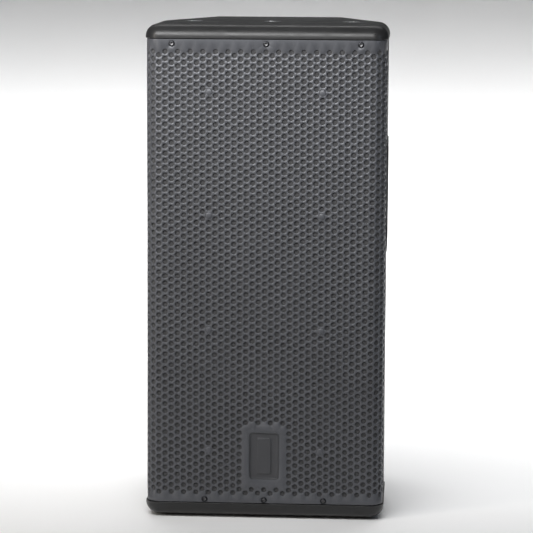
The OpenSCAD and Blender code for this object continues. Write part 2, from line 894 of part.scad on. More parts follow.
module woofer_frame() {
    seat_r = seat_d / 2;
    seat_t = 4;
    shelf = spider_plane - spider_wave - 0.5;
    window = [basket_r, 0.9 * seat_r, basket_depth - 31];
    color(case_black) woofer_place() difference() {
        union() {
            ring(woofer_r, ring_inner_r, ring_t);
            rotate_extrude() polygon([
                [ring_inner_r, ring_t / 2],
                [basket_r, ring_t / 2],
                [basket_r, -8],
                [seat_r, 12 - basket_depth],
                [seat_r, -basket_depth],
                [plate_bore_r + 4, -basket_depth],
                [plate_bore_r + 4, seat_t - basket_depth],
                [seat_r - basket_wall, seat_t - basket_depth],
                [seat_r - basket_wall, shelf - 3],
                [spider_r, shelf - 3],
                [spider_r, shelf],
                [seat_r - basket_wall + 1, shelf],
                [ring_inner_r, -10]
            ]);
        }
        for (i = [0 : 5]) rotate(60 * i + 30)
            translate([seat_r - 4, -window.y / 2, 19 - basket_depth]) cube(window);
        around(woofer_screw_count, woofer_r - ring_w / 2)
            translate([0, 0, -cut]) cylinder(r = shell_screw_r + screw_gap, h = ring_t + 2 * cut);
    }
}

module woofer_gasket() {
    color(rubber_black) woofer_place() difference() {
        translate([0, 0, ring_t]) ring(woofer_r - 1, ring_inner_r + surround_land + 1, 3);
        around(woofer_screw_count, woofer_r - ring_w / 2)
            translate([0, 0, ring_t - cut]) cylinder(r = 5, h = 3 + 2 * cut);
    }
}

module woofer_screws() {
    color(screw_black) woofer_screw_places()
        translate([0, 0, ring_t]) screw(m5_head, shell_screw_r - screw_gap, ring_t + 11);
}

// A thin turned sheet: a wave of the given rises between two radii
module rolled_ring(r0, r1, z, rise, waves, t) {
    steps = 12 * waves;
    line = [for (i = [0 : steps])
        [r0 + (r1 - r0) * i / steps, z + rise * (1 - cos(360 * waves * i / steps)) / 2]];
    rotate_extrude() polygon(concat(
        line,
        [for (i = [steps : -1 : 0]) line[i] + [0, t]]
    ));
}

module woofer_surround() {
    color(paper_black) woofer_place() {
        rolled_ring(cone_r + flex_gap, ring_inner_r + 0.5, ring_t, 4, 2, 1);
        translate([0, 0, ring_t]) ring(ring_inner_r + surround_land, ring_inner_r, 1);
    }
}

function cone_line(r) =
    cone_neck + (ring_t - cone_neck) * pow((r - former_r) / (cone_r - former_r), 0.85);

module woofer_cone() {
    steps = 16;
    radii = [for (i = [0 : steps]) former_r + (cone_r - former_r) * i / steps];
    color(paper_black) woofer_place() rotate_extrude() polygon(concat(
        [for (r = radii) [r, cone_line(r)]],
        [for (i = [steps : -1 : 0]) [radii[i], cone_line(radii[i]) + cone_t]]
    ));
}

module woofer_dust_cap() {
    steps = 10;
    base = cone_line(dust_cap_r) + cone_t;
    line = [for (i = [0 : steps])
        [dust_cap_r * i / steps, base + dust_cap_rise * (1 - pow(i / steps, 2))]];
    color(paper_black) woofer_place() rotate_extrude() polygon(concat(
        line,
        [for (i = [steps : -1 : 0]) line[i] + [0, 0.8]]
    ));
}

module woofer_voice_coil() {
    top = cone_neck + cone_t;
    back = -basket_depth - 9;
    winding_l = 12;
    color(copper) woofer_place() translate([0, 0, back]) {
        ring(former_r, former_r - former_t, top - back);
        ring(former_r + winding_t, former_r - former_t / 2, winding_l);
    }
}

module woofer_spider() {
    z = spider_plane - spider_wave - 0.5;
    inner_r = former_r + flex_gap + winding_t;
    color([0.75, 0.6, 0.3]) woofer_place() {
        rolled_ring(inner_r, spider_r + 0.5, z, 2 * spider_wave, 6, spider_t);
        translate([0, 0, z]) ring(seat_d / 2 - basket_wall - 0.5, spider_r, spider_t);
    }
}

module woofer_top_plate() {
    color(bright_steel) woofer_place() translate([0, 0, -basket_depth - top_plate_t])
        ring(magnet_d / 2 - 8, plate_bore_r, top_plate_t);
}

module woofer_magnet() {
    color([0.2, 0.2, 0.21]) woofer_place() translate([0, 0, -basket_depth - top_plate_t - magnet_t])
        ring(magnet_d / 2, magnet_d / 4, magnet_t);
}

module woofer_back_plate() {
    back = -basket_depth - top_plate_t - magnet_t - back_plate_t;
    color(bright_steel) woofer_place() difference() {
        union() {
            translate([0, 0, back]) cylinder(r = magnet_d / 2 - 4, h = back_plate_t);
            translate([0, 0, back]) cylinder(r = pole_r, h = -basket_depth - back);
        }
        translate([0, 0, back - cut]) cylinder(r = 10, h = -basket_depth - back + 2 * cut);
    }
}

module woofer_terminals() {
    color(screw_black) woofer_place() difference() {
        rotate(-90) translate([seat_d / 2 - 4, -12, -basket_depth]) {
            cube([14, 24, 8]);
            for (y = [5, 16]) translate([13, y, 3]) cube([9, 3, 1]);
        }
        translate([0, 0, -basket_depth - cut]) cylinder(d = seat_d, h = 12);
    }
}

// ---- Horn and compression driver ----

function oval_ring(w, h, power, z) = [for (i = [0 : horn_sides - 1])
    let (a = 360 * i / horn_sides, x = cos(a), y = sin(a))
    [w * sign(x) * pow(abs(x), 2 / power), h * sign(y) * pow(abs(y), 2 / power), z]];

// The inside of the horn, grown by a wall, from the throat to the mouth
module funnel(wall, throat_z, mouth_z) {
    throat_r = throat_d / 2 + wall;
    loft([for (i = [0 : horn_steps])
        let (t = i / horn_steps, flare = pow(t, 1.6))
        oval_ring(
            throat_r + (mouth.x + wall - throat_r) * flare,
            throat_r + (mouth.y + wall - throat_r) * pow(t, 1.15),
            2 + 3 * t,
            throat_z + (mouth_z - throat_z) * t
        )]);
}

module horn() {
    color(case_black) difference() {
        union() {
            face_front(0, baffle_y, horn_z) {
                linear_extrude(horn_flange_t) round_rect(horn_w, horn_h, 12);
                funnel(horn_wall, -horn_depth, horn_flange_t / 2);
                translate([0, 0, -horn_depth]) cylinder(r = driver_r - 8, h = 6);
            }
        }
        face_front(0, baffle_y, horn_z) {
            funnel(0, -horn_depth - 0.01, horn_flange_t + 0.01);
            translate([0, 0, -horn_depth - cut]) cylinder(d = throat_d, h = 2 * cut);
        }
        horn_screw_places() cylinder(r = screw_r + screw_gap, h = 3 * horn_flange_t, center = true);
    }
}

module horn_screws() {
    color(screw_black) horn_screw_places()
        translate([0, 0, horn_flange_t]) screw(m4_tall_head, screw_r - screw_gap, horn_flange_t + 10);
}

module driver_place() {
    face_back(0, baffle_y + horn_depth, horn_z) children();
}

module driver_body() {
    color([0.2, 0.2, 0.21]) driver_place() difference() {
        union() {
            for (z = [0, driver_plate_t + driver_magnet_t])
                translate([0, 0, z]) cylinder(r = driver_r - 6, h = driver_plate_t);
            translate([0, 0, driver_plate_t]) cylinder(r = driver_r, h = driver_magnet_t);
        }
        translate([0, 0, -cut]) cylinder(d = throat_d, h = driver_plate_t + 2 * cut);
        translate([0, 0, driver_plate_t]) cylinder(r = plug_r + 2 * coil_slot + 1.2, h = driver_stack);
    }
}

// Rings with annular slots between them, which carry the sound into the throat
module driver_phase_plug() {
    color([0.3, 0.3, 0.32]) driver_place() translate([0, 0, driver_plate_t]) {
        h = driver_stack - driver_plate_t - 4;
        ring(plug_r, plug_r - 4, h);
        ring(plug_r - 6, plug_r - 10, h);
        cylinder(r1 = 2, r2 = plug_r - 12, h = h);
        for (a = [0, 90]) rotate(a) translate([-plug_r + 1, -1, 0]) cube([2 * plug_r - 2, 2, 3]);
    }
}

module driver_diaphragm() {
    z0 = driver_stack - 3;
    rim_r = plug_r + coil_slot;
    dome_rise = 7;
    steps = 10;
    line = [for (i = [0 : steps]) [rim_r * i / steps, z0 + dome_rise * (1 - pow(i / steps, 2))]];
    color([0.7, 0.72, 0.75]) driver_place() {
        rotate_extrude() polygon(concat(line, [for (i = [steps : -1 : 0]) line[i] + [0, dome_t]]));
        translate([0, 0, z0 - 8]) ring(rim_r, rim_r - 0.5, 8 + dome_t);
    }
}

module driver_cover() {
    z0 = driver_stack;
    h = driver_cover_h;
    color(case_black) driver_place() {
        difference() {
            translate([0, 0, z0]) rotate_extrude() polygon(edge_profile(driver_r - 12, h, 8));
            translate([0, 0, z0 - cut])
                rotate_extrude() polygon(edge_profile(driver_r - 15, h - 3 + cut, 5));
        }
        translate([0, 0, z0]) ring(driver_r - 14, plug_r + coil_slot + 0.6, 1.5);
    }
}

// ---- Ports ----

module port_tubes() {
    r = port_d / 2;
    back = port_flange_t - port_l;
    flare_middle = [r + port_flare, port_flange_t - port_flare];
    outline = concat(
        [[r + port_wall, 0], [r + port_wall, back], [r, back]],
        [for (i = [0 : 6]) flare_middle + port_flare * heading(180 - 15 * i)],
        [[r + port_flange, port_flange_t], [r + port_flange, 0]]
    );
    color(case_black) for (side = [-1, 1])
        face_front(side * port_x, baffle_y, port_z) rotate_extrude() polygon(outline);
}

// ---- Amplifier ----

module panel_point(x, z) {
    face_back(x, panel_y, z) children();
}

module amp_screw_places() {
    across = (panel_w - panel_lap) / 2;
    upward = (panel_h - panel_lap) / 2;
    for (x = [-across, across], row = [-1, -1 / 3, 1 / 3, 1])
        panel_point(x, panel_z + row * upward) children();
}

module panel_hole(r) {
    cylinder(r = r, h = 4 * panel_t, center = true);
}

module panel_window(size, gap) {
    cube([size.x + 2 * gap, size.y + 2 * gap, 4 * panel_t], center = true);
}

module amp_panel() {
    color(case_black) difference() {
        face_back(0, panel_y - panel_t, panel_z) linear_extrude(panel_t) round_rect(panel_w, panel_h, 4);
        amp_screw_places() panel_hole(screw_r + screw_gap);
        for (x = [-column_x, column_x]) {
            panel_point(x, jack_row) panel_hole(jack_body_r + seat_gap);
            panel_point(x, knob_row) panel_hole(bushing_r + screw_gap);
        }
        panel_point(-column_x, link_row) panel_hole(jack_body_r + seat_gap);
        panel_point(column_x, link_row) panel_window([button_w, button_w], 1);
        panel_point(-column_x, mains_row) panel_window(inlet_body, seat_gap);
        panel_point(column_x, mains_row) panel_window(switch_body, seat_gap);
        light_places() panel_hole(light_r + 0.1);
    }
}

module amp_screws() {
    color(screw_black) amp_screw_places() screw(m4_tall_head, screw_r - thread_gap, panel_t + 6);
}

module heatsink() {
    pitch = (heatsink.x - fin_t) / (fin_count - 1);
    color([0.16, 0.16, 0.17]) panel_point(0, heatsink_z) {
        linear_extrude(heatsink_base) square(heatsink, center = true);
        for (i = [0 : fin_count - 1])
            translate([i * pitch - heatsink.x / 2, -heatsink.y / 2, heatsink_base / 2])
                cube([fin_t, heatsink.y, heatsink_base / 2 + fin_h]);
    }
}

module circuit_board() {
    color(board_green) difference() {
        face_back(0, board_y, panel_z) linear_extrude(board_t) square(board, center = true);
        for (x = [-1, 1], z = [-1, 1])
            face_back(x * (board.x / 2 - 6), board_y, panel_z + z * (board.y / 2 - 6))
                cylinder(r = 1.6, h = 4 * board_t, center = true);
    }
    color(bright_steel) for (x = [-1, 1], z = [-1, 1])
        face_back(x * (board.x / 2 - 6), board_y + board_t, panel_z + z * (board.y / 2 - 6))
            cylinder(r = 3, h = board_back - board_t);
}

module transformer() {
    color(copper) face_front(0, board_y, panel_z + 50) {
        ring(38, 14, 30);
        cylinder(r = 12, h = 32);
    }
}

module capacitors() {
    color([0.12, 0.14, 0.2]) for (x = [-40, -10, 20], z = [-60, -92])
        face_front(x, board_y, panel_z + z) cylinder(r = 12.5, h = 30);
}

module latch_slot() {
    gap = 0.15;
    translate([-latch.x / 2 - gap, jack_body_r + latch_offset - gap, -cut])
        cube([latch.x + 2 * gap, latch.y + 2 * gap, bezel_t + 2 * cut]);
}

module input_jacks() {
    color(screw_black) for (x = [-column_x, column_x])
        panel_point(x, jack_row) mirror([0, 1, 0]) difference() {
            union() {
                translate([0, 2, 0]) linear_extrude(bezel_t) round_rect(bezel.x, bezel.y + 4, 3);
                translate([0, 0, -jack_depth])
                    cylinder(r = jack_body_r, h = jack_depth + bezel_t + 1);
            }
            translate([0, 0, jack_floor - jack_depth])
                cylinder(d = jack_bore_d, h = jack_depth + 2 * bezel_t);
            for (a = [30, 150, 270]) rotate(a) translate([7.5, 0, -10]) cylinder(r = 1.3, h = 20);
            latch_slot();
        }
}

module jack_latch(x) {
    lift = latch_travel + 0.2;
    color([0.3, 0.3, 0.32]) panel_point(x, jack_row) mirror([0, 1, 0])
        translate([-latch.x / 2, jack_body_r + latch_offset, lift])
            cube([latch.x, latch.y, bezel_t + latch_rise - lift]);
}

module latch_left() {
    jack_latch(-column_x);
}

module latch_right() {
    jack_latch(column_x);
}

module link_output() {
    panel_point(-column_x, link_row) {
        color(screw_black) difference() {
            union() {
                linear_extrude(bezel_t) round_rect(bezel.x, bezel.y, 3);
                translate([0, 0, -jack_depth]) cylinder(r = jack_body_r, h = jack_depth + 1);
            }
            translate([0, 0, link_floor - jack_depth])
                cylinder(r = jack_body_r - 2, h = jack_depth + bezel_t);
        }
        color(bright_steel) for (a = [90, 210, 330])
            rotate(a) translate([5.5, 0, link_floor - jack_depth - 1]) cylinder(r = 1.2, h = link_pin_l);
    }
}

module level_controls() {
    color(bright_steel) for (x = [-column_x, column_x]) panel_point(x, knob_row) difference() {
        union() {
            translate([-8.5, -8.5, -panel_t - 9]) cube([17, 17, 9]);
            translate([0, 0, -panel_t - 1]) cylinder(r = bushing_r, h = panel_t + knob_floor);
        }
        translate([0, 0, -panel_t - 7]) cylinder(d = shaft_d + 2 * running_gap, h = 40);
    }
}

// A knob in one piece with its shaft
module level_knob(x) {
    color(paper_black) panel_point(x, knob_row) difference() {
        union() {
            translate([0, 0, knob_floor]) cylinder(d = knob_d, h = knob_l);
            translate([0, 0, -panel_t - 5]) cylinder(d = shaft_d, h = panel_t + 6 + knob_floor);
        }
        translate([-0.6, -knob_d / 2 - cut, knob_floor + knob_l - 1]) cube([1.2, knob_d / 2, 1 + cut]);
        around(12, knob_d / 2 + 0.6) translate([0, 0, knob_floor + 3]) cylinder(r = 1.2, h = knob_l);
    }
}

module level_knob_left() {
    level_knob(-column_x);
}

module level_knob_right() {
    level_knob(column_x);
}

module mode_switch() {
    color(screw_black) panel_point(column_x, link_row) difference() {
        translate([-6, -6, -panel_t - 10]) cube([12, 12, 10]);
        translate([0, 0, -panel_t]) cube([button_w + 0.4, button_w + 0.4, 12], center = true);
    }
}

module mode_button() {
    color([0.6, 0.6, 0.62]) panel_point(column_x, link_row)
        translate([-button_w / 2, -button_w / 2, -panel_t - 3])
            cube([button_w, button_w, panel_t + 3 + button_rise]);
}

module power_switch() {
    frame = [rocker.x + 8, rocker.y + 8];
    color(screw_black) panel_point(column_x, mains_row) difference() {
        union() {
            linear_extrude(2) round_rect(frame.x, frame.y, 2);
            translate([0, 0, -16]) linear_extrude(17) square(switch_body, center = true);
        }
        translate([0, 0, -8]) linear_extrude(20) square([rocker.x + 0.8, rocker.y], center = true);
        rotate([0, 90, 0]) cylinder(r = 1.5 + running_gap, h = rocker.x + 4, center = true);
    }
}

module power_rocker() {
    color(rubber_black) panel_point(column_x, mains_row) rotate([rocker_angle, 0, 0]) {
        intersection() {
            cube([rocker.x, rocker.y - 2, 13], center = true);
            rotate([0, 90, 0]) cylinder(r = rocker.y / 2 - 0.6, h = rocker.x, center = true);
        }
        rotate([0, 90, 0]) cylinder(r = 1.5, h = rocker.x + 3, center = true);
    }
}

module mains_inlet() {
    color(screw_black) panel_point(-column_x, mains_row) difference() {
        union() {
            linear_extrude(2.5) round_rect(inlet.x, inlet.y, 3);
            translate([0, 0, -inlet_depth - 6])
                linear_extrude(inlet_depth + 7) square(inlet_body, center = true);
        }
        translate([0, 0, -inlet_depth]) linear_extrude(inlet_depth + 5) square(inlet_hole, center = true);
    }
    color(bright_steel) panel_point(-column_x, mains_row)
        for (pin = [[-7, -1.5], [0, 1.5], [7, -1.5]])
            translate([pin.x - 1, pin.y - 2, -inlet_depth - 2]) cube([2, 4, inlet_depth]);
}

module light_places() {
    for (x = [-light_pitch, 0, light_pitch]) panel_point(x, led_row) children();
}

module indicator_lights() {
    color([0.4, 0.9, 0.5]) light_places() {
        translate([0, 0, -panel_t - 3]) cylinder(r = light_r, h = panel_t + 4);
        translate([0, 0, 1]) sphere(light_r);
    }
}

// ---- Internal leads ----

// A point along a smooth curve that leaves and arrives along the depth
function curve(start, end, t) =
    let (reach = 0.5 * (start.y - end.y), u = 1 - t)
    let (a = start - [0, reach, 0], b = end + [0, reach, 0])
    u * u * u * start + 3 * u * u * t * a + 3 * u * t * t * b + t * t * t * end;

function lead_ring(p, direction) =
    let (d = direction / norm(direction), u = cross(d, [1, 0, 0]))
    let (side = u / norm(u), up = cross(d, side))
    [for (i = [0 : lead_sides - 1]) let (a = 360 * i / lead_sides)
        p + lead_r * (cos(a) * side + sin(a) * up)];

module lead(start, end) {
    step = 1 / lead_steps;
    loft([for (i = [0 : lead_steps])
        let (before = curve(start, end, max(i - 1, 0) * step))
        let (after = curve(start, end, min(i + 1, lead_steps) * step))
        lead_ring(curve(start, end, i * step), after - before)]);
}

module speaker_leads() {
    color(rubber_black) {
        lead(woofer_lead_start, woofer_lead_end);
        lead(horn_lead_start, horn_lead_end);
    }
}

cabinet_shell();
front_baffle();
baffle_gasket();
baffle_screws();
top_cap();
bottom_cap();
cap_screws();
grille();
grille_foam();
grille_screws();
foam_rivets();
badge_plate();
rubber_feet();
underside_screws();
handle_left();
handle_right();
handle_screws();
pole_socket();
fly_points();
rigging_plate();
damping_pads();
woofer_frame();
woofer_gasket();
woofer_surround();
woofer_cone();
woofer_dust_cap();
woofer_voice_coil();
woofer_spider();
woofer_top_plate();
woofer_magnet();
woofer_back_plate();
woofer_terminals();
woofer_screws();
horn();
horn_screws();
driver_body();
driver_phase_plug();
driver_diaphragm();
driver_cover();
port_tubes();
amp_panel();
amp_screws();
heatsink();
circuit_board();
transformer();
capacitors();
input_jacks();
link_output();
latch_left();
latch_right();
level_controls();
level_knob_left();
level_knob_right();
mode_switch();
mode_button();
power_switch();
power_rocker();
mains_inlet();
indicator_lights();
speaker_leads();
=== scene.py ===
"""Finishes, soft pieces, light and camera for the loudspeaker cabinet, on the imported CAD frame."""

import json
import math

import bmesh
import bpy
import numpy as np
from mathutils import Matrix, Vector, noise
from mathutils.geometry import delaunay_2d_cdt


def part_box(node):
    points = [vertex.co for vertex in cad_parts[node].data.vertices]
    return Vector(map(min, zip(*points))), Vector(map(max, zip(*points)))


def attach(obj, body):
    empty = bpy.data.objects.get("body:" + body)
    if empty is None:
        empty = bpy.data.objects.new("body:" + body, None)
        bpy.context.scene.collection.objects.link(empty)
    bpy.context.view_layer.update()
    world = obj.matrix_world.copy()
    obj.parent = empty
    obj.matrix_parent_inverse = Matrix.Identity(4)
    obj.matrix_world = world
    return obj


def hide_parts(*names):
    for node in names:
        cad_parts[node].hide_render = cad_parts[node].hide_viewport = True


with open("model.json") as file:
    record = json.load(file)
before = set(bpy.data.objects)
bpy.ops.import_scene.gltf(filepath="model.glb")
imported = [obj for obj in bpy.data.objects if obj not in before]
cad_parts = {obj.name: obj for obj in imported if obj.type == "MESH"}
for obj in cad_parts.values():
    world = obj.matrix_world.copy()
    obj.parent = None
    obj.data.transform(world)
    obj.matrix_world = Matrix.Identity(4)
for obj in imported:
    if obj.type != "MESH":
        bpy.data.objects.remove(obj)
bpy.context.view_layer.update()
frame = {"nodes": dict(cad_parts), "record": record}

MM = 0.001
FRONT = Vector((0, -1, 0))
BACK = Vector((0, 1, 0))
UP = Vector((0, 0, 1))

# The cabinet's plan, in metres: rounded corners on the right side, mirrored on the left
CAP_LOW, CAP_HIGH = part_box("top_cap")
FLOOR_LOW, FLOOR_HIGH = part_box("bottom_cap")
HALF_W = CAP_HIGH.x
HALF_D = CAP_HIGH.y
FRONT_R, BEND_R, REAR_R = 22 * MM, 60 * MM, 22 * MM
FRONT_CORNER = (HALF_W - FRONT_R, FRONT_R - HALF_D)
SIDE_BEND = (HALF_W - BEND_R, -25 * MM)
REAR_CORNER = (86 * MM, HALF_D - REAR_R)
CAP_EDGE_R = 16.5 * MM
CAP_WALL = 3.5 * MM
CAP_LIP = 1.5 * MM

GRILLE_LOW, GRILLE_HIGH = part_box("grille")
GRILLE_Y = GRILLE_LOW.y
SHEET_T = 1.5 * MM
PITCH = 10 * MM
HOLE_R = 3.75 * MM
HOLE_SIDES = 12
TOP_HOLE_ROW, HOLE_ROWS = 652 * MM, 62
BADGE_HALF_W, BADGE_HALF_H, BADGE_R = 21 * MM, 33.5 * MM, 5 * MM

SCREW_HEAD_R, SCREW_HOLE_R, SCREW_SHANK_R = 4.25 * MM, 2.25 * MM, 1.75 * MM
SCREW_LENGTH = 14 * MM
LOW_SCREW_X = 83 * MM
RIVET_R = 6.75 * MM
RIVET_PAIR = 170 * MM


# ---------------------------------------------------------------- materials


class Surface:
    """A Principled material that is built up from procedural layers, in object coordinates (metres)."""

    def __init__(self, name, colour, roughness, metallic=0.0, **sockets):
        self.material = bpy.data.materials.new(name)
        self.material.use_nodes = True
        self.tree = self.material.node_tree
        self.shader = self.tree.nodes["Principled BSDF"]
        self.colour = (*colour, 1.0)
        self.shader.inputs["Base Color"].default_value = self.colour
        self.shader.inputs["Roughness"].default_value = roughness
        self.shader.inputs["Metallic"].default_value = metallic
        for socket, value in sockets.items():
            self.shader.inputs[socket.replace("_", " ")].default_value = value
        self.place = self.node("ShaderNodeTexCoord").outputs["Object"]
        self.normal = None

    def node(self, kind, inputs=(), **settings):
        made = self.tree.nodes.new(kind)
        for setting, value in settings.items():
            setattr(made, setting, value)
        for socket, value in dict(inputs).items():
            if isinstance(value, bpy.types.NodeSocket):
                self.tree.links.new(value, made.inputs[socket])
            else:
                made.inputs[socket].default_value = value
        return made

    def stretched(self, x, y, z):
        return self.node("ShaderNodeMapping", {"Vector": self.place, "Scale": (x, y, z)}).outputs["Vector"]

    def noise(self, scale, detail=3.0, roughness=0.55, place=None):
        inputs = {"Vector": place or self.place, "Scale": scale, "Detail": detail, "Roughness": roughness}
        return self.node("ShaderNodeTexNoise", inputs).outputs["Fac"]

    def cells(self, scale, place=None, **settings):
        inputs = {"Vector": place or self.place, "Scale": scale}
        return self.node("ShaderNodeTexVoronoi", inputs, **settings).outputs["Distance"]

    def bands(self, scale, direction, place=None, distortion=0.0):
        inputs = {"Vector": place or self.place, "Scale": scale, "Distortion": distortion}
        return self.node("ShaderNodeTexWave", inputs, bands_direction=direction).outputs["Fac"]

    def remap(self, value, low, high, to_low, to_high):
        inputs = {"Value": value, 1: low, 2: high, 3: to_low, 4: to_high}
        return self.node("ShaderNodeMapRange", inputs).outputs["Result"]

    def tint(self, value, low, high, dark, light):
        """Colours the surface from dark to light as value goes from low to high."""
        ramp = self.node("ShaderNodeValToRGB", {"Fac": value})
        ramp.color_ramp.elements[0].position = low
        ramp.color_ramp.elements[1].position = high
        ramp.color_ramp.elements[0].color = (*[c * dark for c in self.colour[:3]], 1)
        ramp.color_ramp.elements[1].color = (*[min(1.0, c * light) for c in self.colour[:3]], 1)
        self.tree.links.new(ramp.outputs["Color"], self.shader.inputs["Base Color"])
        return self

    def gloss(self, value, low, high, to_low, to_high):
        self.tree.links.new(self.remap(value, low, high, to_low, to_high), self.shader.inputs["Roughness"])
        return self

    def relief(self, value, depth, strength=1.0):
        """Adds a layer of height, depth metres from low to high."""
        inputs = {"Height": value, "Distance": depth, "Strength": strength}
        if self.normal:
            inputs["Normal"] = self.normal
        self.normal = self.node("ShaderNodeBump", inputs).outputs["Normal"]
        self.tree.links.new(self.normal, self.shader.inputs["Normal"])
        return self


def moulded(name, colour, roughness, grain=900, depth=0.06 * MM, **sockets):
    """Textured moulded plastic: a pebbled grain, finer pits, and slow changes of gloss."""
    made = Surface(name, colour, roughness, **sockets)
    made.tint(made.noise(14, 4), 0.3, 0.7, 0.86, 1.14)
    made.gloss(made.noise(45, 4), 0.3, 0.7, roughness - 0.06, roughness + 0.07)
    made.relief(made.cells(grain, feature="SMOOTH_F1"), depth)
    return made.relief(made.noise(2600, 2), depth / 3)


def powder_coat(name, colour, roughness, **sockets):
    """Baked powder coat: orange peel, a fine speckle and a little rub on the gloss."""
    made = Surface(name, colour, roughness, **sockets)
    made.tint(made.noise(9, 3), 0.3, 0.7, 0.93, 1.08)
    made.gloss(made.noise(30, 5), 0.3, 0.7, roughness - 0.05, roughness + 0.06)
    made.relief(made.noise(1100, 2), 0.03 * MM)
    return made.relief(made.noise(4200, 1), 0.012 * MM)


def metal(name, colour, roughness, **sockets):
    """Bare or plated metal: fine drawing lines and smudges."""
    made = Surface(name, colour, roughness, 1.0, **sockets)
    made.tint(made.noise(60, 4), 0.3, 0.7, 0.88, 1.08)
    made.gloss(made.noise(220, 5), 0.3, 0.7, roughness - 0.07, roughness + 0.12)
    return made.relief(made.noise(1, 3, place=made.stretched(900, 900, 7000)), 0.01 * MM)


def rubber(name, colour, roughness=0.75):
    made = Surface(name, colour, roughness)
    made.tint(made.noise(80, 5), 0.3, 0.75, 0.75, 1.5)
    made.gloss(made.noise(160, 3), 0.3, 0.7, roughness - 0.1, roughness + 0.1)
    return made.relief(made.noise(1500, 3), 0.05 * MM)


def weave(name, colour, threads, depth, roughness=0.85):
    """Cloth of two crossing sets of threads, with slubs."""
    made = Surface(name, colour, roughness, Sheen_Weight=0.25, Sheen_Roughness=0.5)
    warp = made.bands(threads, "X", distortion=0.4)
    weft = made.bands(threads, "Z", distortion=0.4)
    cross = made.node("ShaderNodeMath", {0: warp, 1: weft}, operation="MAXIMUM").outputs["Value"]
    made.tint(made.noise(120, 5), 0.25, 0.75, 0.7, 1.2)
    made.relief(cross, depth)
    return made.relief(made.noise(2400, 3), depth / 2)


